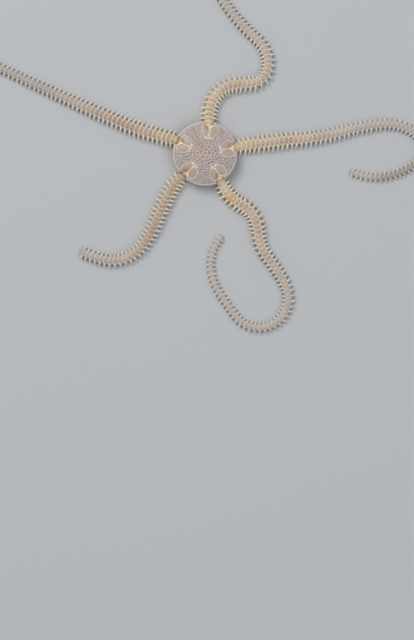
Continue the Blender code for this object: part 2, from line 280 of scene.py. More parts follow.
def closed_tube(grid: Array, layers: dict[str, Array]) -> Surface:
    """Closes a tube with a point in the middle of its first and its last row.

    Args:
        grid: Points as rows, columns, xyz.
        layers: Values as rows, columns.

    Returns:
        The closed surface. A pole's values are those of the first point of its row.
    """
    poles = grid[[0, -1]].mean(axis=1)
    values = {name: np.concatenate([layer.ravel(), layer[[0, -1], 0]]) for name, layer in layers.items()}
    points = np.concatenate([grid.reshape(-1, 3), poles])
    return tube_batch(points[None], *grid.shape[:2], values)


def joined(pieces: Sequence[Surface]) -> Surface:
    """Puts surfaces into one: their points in a row, and each one's faces counted on from there.

    Args:
        pieces: The surfaces, all with the same layers.

    Returns:
        The one surface.
    """
    offsets = running_total([len(piece.points) for piece in pieces])[:-1].astype(int)
    groups: dict[int, list[Array]] = {}
    for piece, offset in zip(pieces, offsets):
        for face in piece.outward().faces:
            groups.setdefault(face.shape[1], []).append(face + offset)
    points = np.concatenate([piece.points for piece in pieces])
    layers = {name: np.concatenate([piece.layers[name] for piece in pieces]) for name in pieces[0].layers}
    return Surface(points, [np.concatenate(group) for group in groups.values()], layers)


class Signal:
    """A number on its way through a node tree. Arithmetic on it adds Math nodes."""

    def __init__(self, paint: "Paint", socket: Any) -> None:
        """Wraps a socket of that paint's node tree."""
        self.paint = paint
        self.socket = socket

    def _math(self, operation: str, first: Any, second: Any) -> "Signal":
        """A Math node on two values, sockets or signals."""
        node = self.paint.node("ShaderNodeMath", {"operation": operation}, {0: first, 1: second})
        return Signal(self.paint, node.outputs[0])

    def __add__(self, other: Any) -> "Signal":
        """This plus the other."""
        return self._math("ADD", self, other)

    __radd__ = __add__

    def __sub__(self, other: Any) -> "Signal":
        """This less the other."""
        return self._math("SUBTRACT", self, other)

    def __rsub__(self, other: Any) -> "Signal":
        """The other less this."""
        return self._math("SUBTRACT", other, self)

    def __mul__(self, other: Any) -> "Signal":
        """This times the other."""
        return self._math("MULTIPLY", self, other)

    __rmul__ = __mul__

    def held(self, low: float, high: float) -> "Signal":
        """Maps low to 0 and high to 1, smoothly, and holds the ends."""
        sockets = {"Value": self, "From Min": low, "From Max": high}
        node = self.paint.node("ShaderNodeMapRange", {"interpolation_type": "SMOOTHSTEP"}, sockets)
        return Signal(self.paint, node.outputs["Result"])


class Paint:
    """A material with one Principled shader and the means to fill its node tree."""

    def __init__(self, name: str) -> None:
        """Starts the material.

        Args:
            name: Its name.
        """
        self.material = bpy.data.materials.new(name)
        self.material.use_nodes = True
        self.tree = self.material.node_tree
        self.shader = self.tree.nodes["Principled BSDF"]
        self.place = self.node("ShaderNodeTexCoord", {}, {}).outputs["Object"]

    def connect(self, node: Any, sockets: dict[Any, Any]) -> None:
        """Fills a node's inputs.

        Args:
            node: The node.
            sockets: Input names or numbers, each with a value, a socket or a Signal.
        """
        for key, value in sockets.items():
            if isinstance(value, Signal):
                value = value.socket
            if isinstance(value, bpy.types.NodeSocket):
                self.tree.links.new(value, node.inputs[key])
            else:
                node.inputs[key].default_value = value

    def node(self, kind: str, settings: dict[str, Any], sockets: dict[Any, Any]) -> Any:
        """Adds a node.

        Args:
            kind: The node's type.
            settings: Its own settings, set first.
            sockets: What its inputs hold.

        Returns:
            The node.
        """
        made = self.tree.nodes.new(kind)
        for key, value in settings.items():
            setattr(made, key, value)
        self.connect(made, sockets)
        return made

    def layer(self, name: str) -> Signal:
        """The mesh's value of that name."""
        return Signal(self, self.node("ShaderNodeAttribute", {"attribute_name": name}, {}).outputs["Fac"])

    def noise(self, per_mm: float) -> Signal:
        """Soft noise, that many grains to the millimetre."""
        sockets = {"Vector": self.place, "Scale": per_mm / MM, "Detail": 3.0}
        return Signal(self, self.node("ShaderNodeTexNoise", {}, sockets).outputs["Fac"])

    def blend(self, base: Any, over: Any, share: Signal) -> Any:
        """Lays one colour over another.

        Args:
            base: The colour below, or its socket.
            over: The colour on top, or its socket.
            share: How much of the one on top shows.

        Returns:
            The blend's socket.
        """
        both = [(*colour, 1.0) if isinstance(colour, tuple) else colour for colour in (base, over)]
        sockets = {0: share, 6: both[0], 7: both[1]}
        return self.node("ShaderNodeMix", {"data_type": "RGBA"}, sockets).outputs[2]

    def coats(self, base: Any, colours: dict[str, Any]) -> Any:
        """Lays colours over a base in turn, each by the mesh's value of its name.

        Args:
            base: The colour below, or its socket.
            colours: The colours, or their sockets, under the names of the values.

        Returns:
            The last blend's socket.
        """
        for name, colour in colours.items():
            base = self.blend(base, colour, self.layer(name))
        return base

    def finish(self, colour: Any, roughness: Any, bump: Span) -> bpy.types.Material:
        """Connects the shader.

        Args:
            colour: Base colour, a socket.
            roughness: A number or a Signal.
            bump: The bump's grains to the millimetre, and its depth in millimetres.

        Returns:
            The material.
        """
        grain, depth = bump
        made = self.node("ShaderNodeBump", {}, {"Distance": depth * MM, "Height": self.noise(grain)})
        self.connect(self.shader, {"Base Color": colour, "Roughness": roughness,
                                   "Normal": made.outputs["Normal"]})
        return self.material


@dataclass(frozen=True)
class DiscFinish:
    """The disc: mauve-grey scales in a pale net, a pink belly and a dark mouth.

    Attributes:
        darkening: How much a scale's own tone and the mottle darken it.
        dark_span: From which sum of the two a scale is darker, and where it is darkest.
        blushing: The blush's least strength, and what the mottle adds.
        paling: How much the mottle and the net pale the pink.
        roughness: In the net, and what a scale adds.
    """

    net: Colour = srgb(186, 173, 165)
    scale: Colour = srgb(142, 129, 125)
    scale_dark: Colour = srgb(114, 105, 108)
    warm: Colour = srgb(168, 138, 122)
    blush: Colour = srgb(168, 136, 126)
    rim: Colour = srgb(222, 211, 202)
    pale: Colour = srgb(212, 199, 190)
    cream: Colour = srgb(252, 230, 198)
    belly: Colour = srgb(150, 136, 130)
    pink: Colour = srgb(166, 98, 88)
    pink_pale: Colour = srgb(164, 120, 107)
    spot: Colour = srgb(96, 56, 38)
    beige: Colour = srgb(164, 138, 114)
    mouth: Colour = srgb(160, 108, 44)
    mottle_grain: float = 0.5
    darkening: Span = (0.8, 0.5)
    dark_span: Span = (0.3, 1.0)
    warm_share: float = 0.75
    net_share: float = 0.8
    belly_net_share: float = 0.4
    blushing: Span = (0.25, 0.3)
    blush_span: Span = (0.3, 0.6)
    paling: Span = (0.6, 0.25)
    pale_span: Span = (0.35, 0.7)
    roughness: Span = (0.38, 0.14)
    bump: Span = (9.0, 0.01)

    def material(self) -> bpy.types.Material:
        """Builds the finish.

        Returns:
            The material.
        """
        paint = Paint("disc_skin")
        mottle = paint.noise(self.mottle_grain)
        inside = paint.layer("cell")
        dark = paint.layer("tone") * self.darkening[0] + mottle * self.darkening[1]
        colour = paint.blend(self.scale, self.scale_dark, dark.held(*self.dark_span))
        colour = paint.blend(colour, self.warm, paint.layer("tan") * self.warm_share)
        colour = paint.blend(colour, self.net, (1.0 - inside) * self.net_share)
        blush = self.blushing[0] + self.blushing[1] * mottle.held(*self.blush_span)
        colour = paint.blend(colour, self.blush, paint.layer("blush") * blush)
        belly = paint.blend(self.belly, self.net, (1.0 - inside) * self.belly_net_share)
        paler = mottle.held(*self.pale_span) * self.paling[0] + (1.0 - inside) * self.paling[1]
        pink = paint.blend(self.pink, self.pink_pale, paler)
        belly = paint.coats(belly, {"pink": pink, "frame": self.beige})
        colour = paint.coats(colour, {"under": belly, "pale": self.pale, "rim": self.rim, "cream": self.cream,
                                      "spot": self.spot, "mouth": self.mouth})
        return paint.finish(colour, self.roughness[0] + inside * self.roughness[1], self.bump)


@dataclass(frozen=True)
class ShieldFinish:
    """The radial shields: smooth, beige-brown, with faint growth rings and a pale edge."""

    plate: Colour = srgb(160, 143, 132)
    plate_warm: Colour = srgb(165, 142, 125)
    edge: Colour = srgb(206, 189, 175)
    mottle_grain: float = 0.9
    mottle_span: Span = (0.35, 0.65)
    growth_share: float = 0.16
    edge_share: float = 0.85
    roughness: float = 0.36
    bump: Span = (7.0, 0.008)

    def material(self) -> bpy.types.Material:
        """Builds the finish.

        Returns:
            The material.
        """
        paint = Paint("radial_shield")
        mottle = paint.noise(self.mottle_grain).held(*self.mottle_span)
        colour = paint.blend(self.plate, self.plate_warm, mottle)
        colour = paint.blend(colour, self.edge, (0.5 + 0.5 * paint.layer("growth")) * self.growth_share)
        colour = paint.blend(colour, self.edge, paint.layer("edge") * self.edge_share)
        return paint.finish(colour, self.roughness, self.bump)


@dataclass(frozen=True)
class ArmFinish:
    """The arms: cream near the disc, pinkish beige along them, whiter at the ends.

    Attributes:
        middle_span: Where along the arm, in millimetres, the near colour gives way to the middle one.
        far_span: Where the middle colour gives way to the far one.
        pink_span: Where the plates on the back turn pink.
        plate_span: Where those plates start and stop getting fainter, down by the plate fade.
        arc_span: Where the cream arcs start and stop getting fainter, down by the arc fade.
        far_mottle: The far plate colour's least strength, and what the mottle adds.
        plate_mottle: The back plates' least strength, and what the mottle adds.
        seam_share: The seams' strength, and what it loses on the sole.
    """

    near: Colour = srgb(218, 198, 168)
    middle: Colour = srgb(204, 186, 169)
    far: Colour = srgb(184, 177, 170)
    plate: Colour = srgb(158, 136, 114)
    plate_pink: Colour = srgb(144, 119, 107)
    plate_far: Colour = srgb(143, 136, 131)
    shade: Colour = srgb(140, 118, 104)
    arc: Colour = srgb(230, 214, 188)
    seam: Colour = srgb(132, 110, 94)
    # Tan at the arm's base, darkened to paint the shade in the notch as well.
    band: Colour = srgb(154, 118, 84)
    blotch: Colour = srgb(192, 150, 98)
    sole: Colour = srgb(158, 134, 112)
    mottle_grain: float = 0.3
    middle_span: Span = (7.0, 15.0)
    far_span: Span = (17.0, 36.0)
    pink_span: Span = (8.0, 13.0)
    plate_span: Span = (18.0, 34.0)
    arc_span: Span = (12.0, 32.0)
    plate_fade: float = 0.25
    arc_fade: float = 0.65
    far_mottle: Span = (0.6, 0.6)
    far_mottle_span: Span = (0.3, 0.6)
    plate_mottle: Span = (0.6, 0.4)
    plate_mottle_span: Span = (0.3, 0.65)
    dull_share: float = 0.93
    seam_share: Span = (0.45, 0.25)
    roughness: float = 0.42
    bump: Span = (8.0, 0.012)

    def material(self) -> bpy.types.Material:
        """Builds the finish.

        Returns:
            The material.
        """
        paint = Paint("arm_plates")
        mottle = paint.noise(self.mottle_grain)
        along = paint.layer("along")
        colour = paint.blend(self.near, self.middle, along.held(*self.middle_span))
        colour = paint.blend(colour, self.far, along.held(*self.far_span))
        plate = paint.blend(self.plate, self.plate_pink, along.held(*self.pink_span))
        patchy = self.far_mottle[0] + self.far_mottle[1] * mottle.held(*self.far_mottle_span)
        plate = paint.blend(plate, self.plate_far, along.held(*self.far_span) * patchy)
        patchy = self.plate_mottle[0] + self.plate_mottle[1] * mottle.held(*self.plate_mottle_span)
        fading = 1.0 - self.plate_fade * along.held(*self.plate_span)
        colour = paint.blend(colour, plate, paint.layer("dorsal") * patchy * fading)
        colour = paint.coats(colour, {"shade": self.shade})
        # Painted shade: the greyer stretch of an arm, such as arm b's outer return.
        colour = paint.blend(colour, self.plate_far, paint.layer("dull") * self.dull_share)
        sole = paint.layer("sole")
        colour = paint.blend(colour, self.sole, sole)
        seam = self.seam_share[0] - self.seam_share[1] * sole
        colour = paint.blend(colour, self.seam, paint.layer("seam") * seam)
        fading = 1.0 - self.arc_fade * along.held(*self.arc_span)
        colour = paint.blend(colour, self.arc, paint.layer("arc") * fading)
        # The tan band, partly painted shade in the notch, and the golden blotch.
        colour = paint.coats(colour, {"band": self.band, "blotch": self.blotch})
        return paint.finish(colour, self.roughness, self.bump)


@dataclass(frozen=True)
class SpineFinish:
    """The spines: glassy, cream near the disc and whiter further out, with a warm root."""

    near: Colour = srgb(220, 208, 184)
    far: Colour = srgb(208, 204, 196)
    root: Colour = srgb(194, 179, 158)
    far_span: Span = (8.0, 26.0)
    root_span: Span = (0.05, 0.4)
    roughness: float = 0.3
    bump: Span = (10.0, 0.006)

    def material(self) -> bpy.types.Material:
        """Builds the finish.

        Returns:
            The material.
        """
        paint = Paint("arm_spines")
        glass = paint.blend(self.near, self.far, paint.layer("along").held(*self.far_span))
        colour = paint.blend(self.root, glass, paint.layer("out").held(*self.root_span))
        return paint.finish(colour, self.roughness, self.bump)


@dataclass(frozen=True)
class MouthFinish:
    """The jaws and the plates round the mouth: cream, and gold along the slits."""

    plate: Colour = srgb(166, 140, 115)
    rosy: Colour = srgb(162, 133, 115)
    gold: Colour = srgb(176, 126, 58)
    mottle_grain: float = 0.7
    mottle_span: Span = (0.35, 0.65)
    roughness: float = 0.4
    bump: Span = (8.0, 0.01)

    def material(self) -> bpy.types.Material:
        """Builds the finish.

        Returns:
            The material.
        """
        paint = Paint("mouth_plates")
        mottle = paint.noise(self.mottle_grain).held(*self.mottle_span)
        colour = paint.coats(paint.blend(self.plate, self.rosy, mottle), {"gold": self.gold})
        return paint.finish(colour, self.roughness, self.bump)


@dataclass(frozen=True)
class FloorFinish:
    """A plain pale matt floor."""

    grey: Colour = srgb(178, 180, 182)
    roughness: float = 0.9

    def material(self) -> bpy.types.Material:
        """Builds the finish.

        Returns:
            The material.
        """
        paint = Paint("floor")
        paint.connect(paint.shader, {"Base Color": (*self.grey, 1.0), "Roughness": self.roughness})
        return paint.material


@dataclass(frozen=True)
class ArmCourse:
    """How one arm lies: its place round the disc and its (distance, heading) bends.

    Attributes:
        shields: How far its pair of radial shields is turned on from it, in degrees.
        band: The strength of its tan band at the disc: partly the arm's own tan, partly painted shade in the
            notch, strongest on arms d and e.
        shade: How much browner its inner half is than the others'.
        blotch: The distance of its tan blotch, or 0.
        dull: A greyer stretch, by two distances and its strength. On arm b it is painted shade over the outer
            return; on arm e it greys the outer part.
    """

    name: str
    azimuth: float
    bends: tuple[tuple[float, float], ...]
    tip: float
    broken: bool
    shields: float
    band: float
    shade: float
    blotch: float = 0.0
    dull: tuple[float, float, float] = (0.0, 0.0, 0.0)


COURSES = (
    ArmCourse("a", 82.5, ((6.9, 89.5), (9.7, 66.5), (12.2, 43), (14.8, 10), (17.3, 1.5), (19.4, 16),
                          (21.3, 59.5), (23.2, 84.5), (25.1, 106), (27.0, 121.5), (29.0, 138.5),
                          (34.6, 130), (43, 112), (51, 118), (60, 145)),
              60.0, False, -3.5, 0.1, 0.04),
    ArmCourse("b", 13.0, ((7.4, 9), (10.4, 5.5), (13.5, 8), (16.6, 3.5), (19.8, 7.5), (26.2, 15.5),
                          (29.4, 11), (32.5, 8.5), (35.3, -5.5), (38.1, -26), (39.6, -35.5),
                          (46.7, -146), (50.0, -159.5), (52.6, -171), (55.2, -188.5), (57.7, -197.5)),
              # Arm b's last entry paints the shade that lies over its outer return.
              59.1, True, -1.5, 0.15, 0.04, 0.0, (42.0, 54.0, 1.0)),
    ArmCourse("c", -60.0, ((7.1, -63.5), (9.5, -41.5), (11.7, -29), (14.0, -49.5), (16.1, -74.5),
                           (18.2, -85), (20.3, -71.5), (22.4, -54), (24.8, -54), (27.4, -59.5),
                           (29.7, -69), (45.3, -233.5), (50.4, -237), (54.6, -259.5), (58.7, -290),
                           (60.8, -309.5)),
              62.0, True, 3.5, 0.15, 0.05, 9.5),
    ArmCourse("d", 224.5, ((6.7, 222.5), (9.3, 241), (11.7, 244.5), (14.0, 248.5), (16.7, 245),
                           (19.4, 239.5), (22.2, 222), (24.6, 204), (26.7, 184.5), (28.8, 167.5),
                           (30.7, 160.5), (32.6, 158)),
              33.5, True, 3.5, 0.6, 0.42),
    ArmCourse("e", 154.5, ((7.2, 165.5), (12.5, 162.5), (16.0, 157), (28.0, 155.5), (41.0, 154.5),
                           (50.0, 166), (60.0, 186)),
              60.0, False, 2.0, 0.95, 0.28, 0.0, (26.0, 64.0, 0.4)),
)


@dataclass
class Route:
    """The centre line of an arm, as its headings blended between the bends.

    Attributes:
        course: How the arm lies.
        step: The spacing of the line's points.
        straight: How far out the line keeps the arm's azimuth.
        blend: The length over which headings are averaged.
    """

    course: ArmCourse
    step: float = 0.1
    straight: float = 4.5
    blend: float = 1.6

    def __post_init__(self) -> None:
        """Works out the line: headings between bends are averaged over the blend, and points are a total."""
        steps = int(round(self.course.tip / self.step)) + 1
        self.distance = np.linspace(0.0, self.course.tip, steps)
        marks = [0.0, self.straight, *[mark for mark, _ in self.course.bends]]
        headings = [self.course.azimuth] * 2 + [heading for _, heading in self.course.bends]
        window = int(self.blend / self.step) // 2 * 2 + 1
        padded = np.pad(np.interp(self.distance, marks, headings), window // 2, mode="edge")
        self.heading = np.radians(np.convolve(padded, np.ones(window) / window, mode="valid"))
        size = self.distance[1] - self.distance[0]
        middle = (self.heading[1:] + self.heading[:-1]) / 2
        self.x = running_total(np.cos(middle) * size)
        self.y = running_total(np.sin(middle) * size)
        self.bend = np.gradient(self.heading, size)

    def at(self, distance: Array) -> tuple[Array, Array, Array]:
        """Reads the line between its points.

        Args:
            distance: Distances along the arm.

        Returns:
            The points, the directions ahead and the directions to the left.
        """
        x, y, heading = (np.interp(distance, self.distance, values)
                         for values in (self.x, self.y, self.heading))
        level = np.zeros_like(heading)
        ahead = lifted(in_plan(1.0, heading), level)
        left = lifted(off_line(heading, 0.0, 1.0), level)
        return np.stack([x, y, level], axis=-1), ahead, left

    def bend_at(self, distance: Array) -> Array:
        """How fast the arm turns left there, in radians per millimetre."""
        return np.interp(distance, self.distance, self.bend)


@dataclass
class SpineRow:
    """One row of spines along an arm.

    Attributes:
        angle: Where it stands on the arm's section, in degrees above the side.
        rise: How steeply it points up, in degrees.
        lean: How far it leans towards the tip, in degrees.
        share: Its length, as a share of the longest row's.
    """

    angle: float
    rise: float
    lean: float
    share: float


@dataclass
class Arm:
    """One arm: a plated skin in one piece and its spines.

    A segment's phase runs from 0 at its near end to 1 at its far end. Along the arm and round its section, a
    span is where a smooth step starts and ends, or the middle and the width of a bell.

    Attributes:
        course: How the arm lies.
        number: Its place among the arms, which starts its random draws.
        start: Where the first segment starts.
        segment: The length of a segment.
        height_share: The section's height, as a share of its width.
        whole_tip: The width at the end of an arm that isn't broken, drawn in over the taper.
        end_round: The length of the rounded end.
        end_rows: How many rows of points the rounded end has.
        middle_height: The height of the section's widest level, as a share of its height.
        section_powers: The powers of the section's cosine, and of its sine above and below the middle.
        sole_gap: How far the sole stays off the floor.
        flare: How far the side plates stand out.
        plate_dome: How far the plates on the back bulge, on top of their step.
        plate_slant: The share of the bulge at a plate's near end, and what it gains by the far one.
        sole_step: The sole plates' step, as a share of the back plates'.
        pore: The pores beside the sole plates, by turn and phase.
        oval: Half the back plates' turn round the section, its gain near the disc, and half their phase.
        square: Half the sole plates' turn and half their phase.
        ring_hollow: How much fainter a back plate's colour is in the plate's middle.
        arc_side: How strongly the cream of the arcs shows on the side plates.
        seam_strength: How dark a seam is on the back, and what it gains at the side.
        plates_show: Where the plates' colours come in, past the disc, and their share before it.
        shoulder: How far the arm swells where it meets the disc, in the shoulder span.
        inner_end: Where the arm's skin starts, under the disc.
        widths: (distance, width) along the arm.
        spine_lengths: (distance, length) of the longest row's spines.
        spine_thinning: The half width under which spines are thinner, and the least share of their radius.
        root_clearance: How far a root's lower side stays off the floor.
        spine_phase: Where on a segment its spines stand.
        spine_from: Where the spines start, where every row has them and where they may point up.
        side_row: Rows below this angle, in degrees, are the ones that start first.
        crowding: What a spine inside a tight bend loses of its length and of its lean.
        spine_sunk: The root's place, as a share of the half width, and the length that is sunk in it.
    """

    course: ArmCourse
    number: int
    start: float = 1.7
    segment: float = 0.88
    height_share: float = 0.82
    whole_tip: float = 0.6
    whole_tip_taper: float = 9.0
    columns: int = 52
    rows_per_segment: int = 10
    end_round: float = 0.45
    end_span: Span = (0.15, 1.5)
    end_rows: int = 9
    middle_height: float = 0.44
    section_powers: tuple[float, float, float] = (0.85, 0.95, 0.55)
    sole_gap: float = 0.02
    flare: float = 0.08
    flare_power: float = 1.4
    flare_rise: Span = (0.1, 0.78)
    flare_fall: Span = (1.0, 0.86)
    plate_dome: float = 0.07
    plate_slant: Span = (0.4, 0.6)
    plate_step: float = 0.045
    sole_step: float = 0.5
    joint_depth: float = 0.04
    joint_width: float = 0.07
    pore_depth: float = 0.05
    pore: Spot = Spot((1.12, 0.16), (0.72, 0.16))
    oval: tuple[float, float, float] = (0.62, 0.1, 0.47)
    oval_gain: Span = (6.0, 4.0)
    oval_edge: Span = (1.02, 0.9)
    square: Span = (0.85, 0.46)
    square_edge: Span = (1.04, 0.92)
    ring_edge: Span = (1.0, 0.78)
    ring_middle: Span = (0.0, 0.33)
    ring_hollow: float = 0.55
    arc_edge: Span = (1.0, 0.14)
    arc_phase: Span = (0.45, 0.7)
    arc_side: float = 0.45
    seam_strength: Span = (0.35, 0.4)
    back_from: Span = (-0.2, 0.3)
    sole_from: Span = (-0.35, -0.7)
    plates_show: Span = (5.2, 7.0)
    plates_near: float = 0.3
    shade_span: Span = (28.0, 20.0)
    dull_ease: float = 2.0
    band_span: Span = (5.5, 0.32)
    band_side: Span = (0.1, 0.6)
    blotch_strength: float = 0.75
    blotch_width: float = 0.75
    blotch_turn: float = 1.9
    shoulder: float = 0.85
    shoulder_span: Span = (5.3, 0.75)
    inner_end: float = 1.52
    widths: tuple[Span, ...] = (
        (1.4, 0.5), (1.6, 0.9), (1.9, 1.3), (2.4, 1.66), (3.2, 1.84), (6.0, 1.88), (12.0, 1.92),
        (20.0, 1.74), (29.0, 1.5), (36.0, 1.36), (48.0, 1.12), (60.0, 0.98))
    spine_lengths: tuple[Span, ...] = (
        (4.4, 0.4), (5.4, 0.74), (6.5, 0.97), (14.0, 1.02), (19.0, 0.9), (26.0, 0.82), (33.0, 0.79),
        (38.0, 0.69), (60.0, 0.58))
    spine_radius: float = 0.31
    spine_thinning: Span = (0.8, 0.72)
    root_clearance: float = 0.03
    spine_phase: float = 0.66
    spine_from: tuple[float, float, float] = (4.4, 6.1, 6.3)
    tip_margin: float = 0.25
    side_row: float = 15.0
    place_stray: float = 0.05
    length_stray: Span = (0.88, 1.08)
    rise_stray: float = 0.07
    lean_stray: float = 0.06
    crowding: Span = (0.35, 0.7)
    spine_bend: Span = (-0.12, 0.04)
    spine_sunk: Span = (0.86, 0.14)
    rows: tuple[SpineRow, ...] = (SpineRow(10, 5, -14, 1.0), SpineRow(34, 24, -8, 0.72),
                                  SpineRow(-10, -3, 1, 0.84), SpineRow(-30, -9, -12, 0.72))

    def __post_init__(self) -> None:
        """Lays the route and starts the random draws."""
        self.route = Route(self.course)
        self.random = np.random.default_rng(self.number)

    def half_width(self, distance: Array) -> Array:
        """Half the arm's width: read between named widths, and drawn in to the tip where that is whole.

        Args:
            distance: Distances along the arm.

        Returns:
            The half widths.
        """
        width = np.interp(distance, *zip(*self.widths))
        if not self.course.broken:
            share = np.clip((self.course.tip - distance) / self.whole_tip_taper, 0.0, 1.0)
            width = self.whole_tip + (width - self.whole_tip) * share
        return width / 2

    def section(self, distance: Array, turn: Array) -> tuple[Array, Array, Array, Array]:
        """The arm's plain section.

        A flattened oval: across is half the width times a power of the cosine, up is the middle height plus
        the rest of the height times a power of the sine, and the sole below is flatter.

        Args:
            distance: Distances along the arm.
            turn: Angles round the section, from the left side over the top.

        Returns:
            Across, up, and the outward direction in the section as its two parts.
        """
        half = self.half_width(distance)
        height = 2 * half * self.height_share
        cosine, sine = np.cos(turn), np.sin(turn)
        across_power, upper_power, lower_power = self.section_powers
        across = half * signed_power(cosine, across_power)
        middle = height * self.middle_height
        swell = self.shoulder * bell(distance, *self.shoulder_span)
        upper = (height - middle + swell) * np.abs(sine) ** upper_power
        lower = -(middle - self.sole_gap) * np.abs(sine) ** lower_power
        up = middle + np.where(sine > 0, upper, lower)
        slope = np.hypot(cosine / half, sine / (height / 2))
        return across, up, cosine / half / slope, sine / (height / 2) / slope

    def relief(self, distance: Array, turn: Array) -> tuple[Array, dict[str, Array]]:
        """The plates of each segment, as a height over the plain section.

        Side plates flare towards the far end of each segment. A plate on the back is an oval dome, one on the
        sole a rounded square, and a groove parts the segments.

        Args:
            distance: Distances along the arm.
            turn: Angles round the section.

        Returns:
            The heights, and the layers that the finish reads.
        """
        phase = ((distance - self.start) / self.segment) % 1.0
        side = np.abs(np.cos(turn)) ** self.flare_power
        flare = smooth(phase, *self.flare_rise) * smooth(phase, *self.flare_fall) * side
        half_turn, gain, half_phase = self.oval
        from_top = wrapped(turn - math.pi / 2) / (half_turn + gain * bell(distance, *self.oval_gain))
        oval = np.hypot(from_top, (phase - 0.5) / half_phase)
        dorsal = smooth(oval, *self.oval_edge)
        dome = np.sqrt(np.clip(1.0 - oval ** 2, 0.0, 1.0))
        half_turn, half_phase = self.square
        from_sole = wrapped(turn + math.pi / 2) / half_turn
        square = (np.abs(from_sole) ** 4 + np.abs((phase - 0.5) / half_phase) ** 4) ** 0.25
        ventral = smooth(square, *self.square_edge)
        joint = bell(np.minimum(phase, 1.0 - phase), 0.0, self.joint_width)
        pore = self.pore.at(np.abs(from_sole), phase)
        bulge = self.plate_dome * dome * (self.plate_slant[0] + self.plate_slant[1] * phase) * dorsal
        grooves = self.joint_depth * joint + self.pore_depth * pore
        height = self.flare * flare + bulge
        height += self.plate_step * (dorsal + self.sole_step * ventral) - grooves
        above = smooth(np.sin(turn), *self.back_from)
        ring = smooth(oval, *self.ring_edge) * (1.0 - self.ring_hollow * bell(oval, *self.ring_middle))
        arc = bell(oval, *self.arc_edge) * smooth(phase, *self.arc_phase) * above
        # The tan band at the disc: partly the arm's own tan, partly painted shade in the notch.
        band = bell(distance, *self.band_span) * smooth(np.sin(turn), *self.band_side)
        fade = self.plates_near + (1.0 - self.plates_near) * smooth(distance, *self.plates_show)
        dark = self.seam_strength[0] + self.seam_strength[1] * side
        layers = {
            "along": distance,
            "dorsal": ring * above * fade,
            "sole": smooth(np.sin(turn), *self.sole_from),
            "arc": np.clip(arc + self.arc_side * flare * (1.0 - dorsal), 0.0, 1.0),
            "seam": np.clip(joint * dark + pore, 0.0, 1.0) * fade,
            "band": self.course.band * band,
            "blotch": self.blotch(distance, turn),
            "shade": self.course.shade * smooth(distance, *self.shade_span) * above,
            # Painted shade: the greyer stretch over arm b's outer return, and arm e's greyer outer part.
            "dull": self.dull(distance),
        }
        return height * np.minimum(self.half_width(distance), 1.0), layers

    def dull(self, distance: Array) -> Array:
        """The greyer stretch of the arm, painted shade: a smooth step up at its start times one down at its
        end.

        Args:
            distance: Distances along the arm.

        Returns:
            How strongly the painted shade greys the arm there.
        """
        start, end, strength = self.course.dull
        ease = self.dull_ease
        started = smooth(distance, start - ease, start + ease)
        return strength * started * smooth(distance, end + ease, end - ease)

    def blotch(self, distance: Array, turn: Array) -> Array:
        """The golden blotch, on the arm that has it: a bell of the distance, over the back and left side.

        Args:
            distance: Distances along the arm.
            turn: Angles round the section.

        Returns:
            How strong it is there.
        """
        if not self.course.blotch:
            return np.zeros_like(distance)
        side = smooth(np.cos(turn - self.blotch_turn), 0.0, 1.0)
        return self.blotch_strength * bell(distance, self.course.blotch, self.blotch_width) * side

    def skin(self) -> Surface:
        """The arm's skin from under the disc to its tip.

        Returns:
            One closed tube.
        """
        full = self.course.tip - self.end_round
        count = int((self.course.tip - self.inner_end) / self.segment * self.rows_per_segment)
        end = self.course.tip - self.end_round * (1.0 - np.sin(np.linspace(*self.end_span, self.end_rows)))
        rows = np.concatenate([np.linspace(self.inner_end, full, count), end])
        distance, turn = np.meshgrid(rows, round_turns(self.columns), indexing="ij")
        across, up, out_across, out_up = self.section(distance, turn)
        height, layers = self.relief(distance, turn)
        past = np.clip((distance - full) / self.end_round, 0.0, 1.0)
        shrink = np.sqrt(np.clip(1.0 - past ** 2, 0.0, 1.0))
        middle = 2 * self.half_width(distance) * self.height_share * self.middle_height
        across = (across + out_across * height) * shrink
        up = middle + (up + out_up * height - middle) * shrink
        point, _, left = self.route.at(distance)
        grid = point + left * across[..., None]
        grid[..., 2] = np.maximum(up, 0.0)
        return closed_tube(grid, layers)

    def spines(self) -> Surface:
        """Every spine of the arm: a bent, tapering cone on each segment, side and row.

        Returns:
            All of them in one surface.
        """
        begin, all_rows, may_rise = self.spine_from
        first = self.start + self.segment * self.spine_phase
        stations = np.arange(first, self.course.tip - self.tip_margin, self.segment)
        stations = stations[stations > begin]
        table = np.array([(row.angle, row.rise, row.lean, row.share) for row in self.rows])
        distance, side, which = np.meshgrid(stations, SIDES, np.arange(len(table)), indexing="ij")
        keep = (distance > all_rows) | (table[which, 0] < self.side_row)
        distance, side, which = distance[keep], side[keep], which[keep]
        angle, rise, lean = np.radians(table[which, :3]).T
        share = table[which, 3]
        count = len(distance)
        distance = distance + self.random.uniform(-self.place_stray, self.place_stray, count)
        half = self.half_width(distance)
        length = np.interp(distance, *zip(*self.spine_lengths)) * share
        length = length * self.random.uniform(*self.length_stray, count)
        crowd = np.clip(side * self.route.bend_at(distance) * (half + length), 0.0, 1.0)
        length = length * (1.0 - self.crowding[0] * crowd)
        rise = rise + self.random.normal(0.0, self.rise_stray, count)
        rise = np.where(distance < may_rise, np.minimum(rise, 0.0), rise)
        lean = lean * (1.0 - self.crowding[1] * crowd) + self.random.normal(0.0, self.lean_stray, count)
        turn = np.where(side > 0, angle, math.pi - angle)
        across, up, _, _ = self.section(distance, turn)
        point, ahead, left = self.route.at(distance)
        at_side, sunk = self.spine_sunk
        root = point + left * (across * at_side)[:, None]
        root[:, 2] = np.maximum(up, self.spine_radius + self.root_clearance)
        level = left * side[:, None] * np.cos(lean)[:, None] + ahead * np.sin(lean)[:, None]
        axis = level * np.cos(rise)[:, None]
        axis[:, 2] = np.sin(rise)
        bend = ahead * self.random.uniform(*self.spine_bend, count)[:, None]
        full_from, least = self.spine_thinning
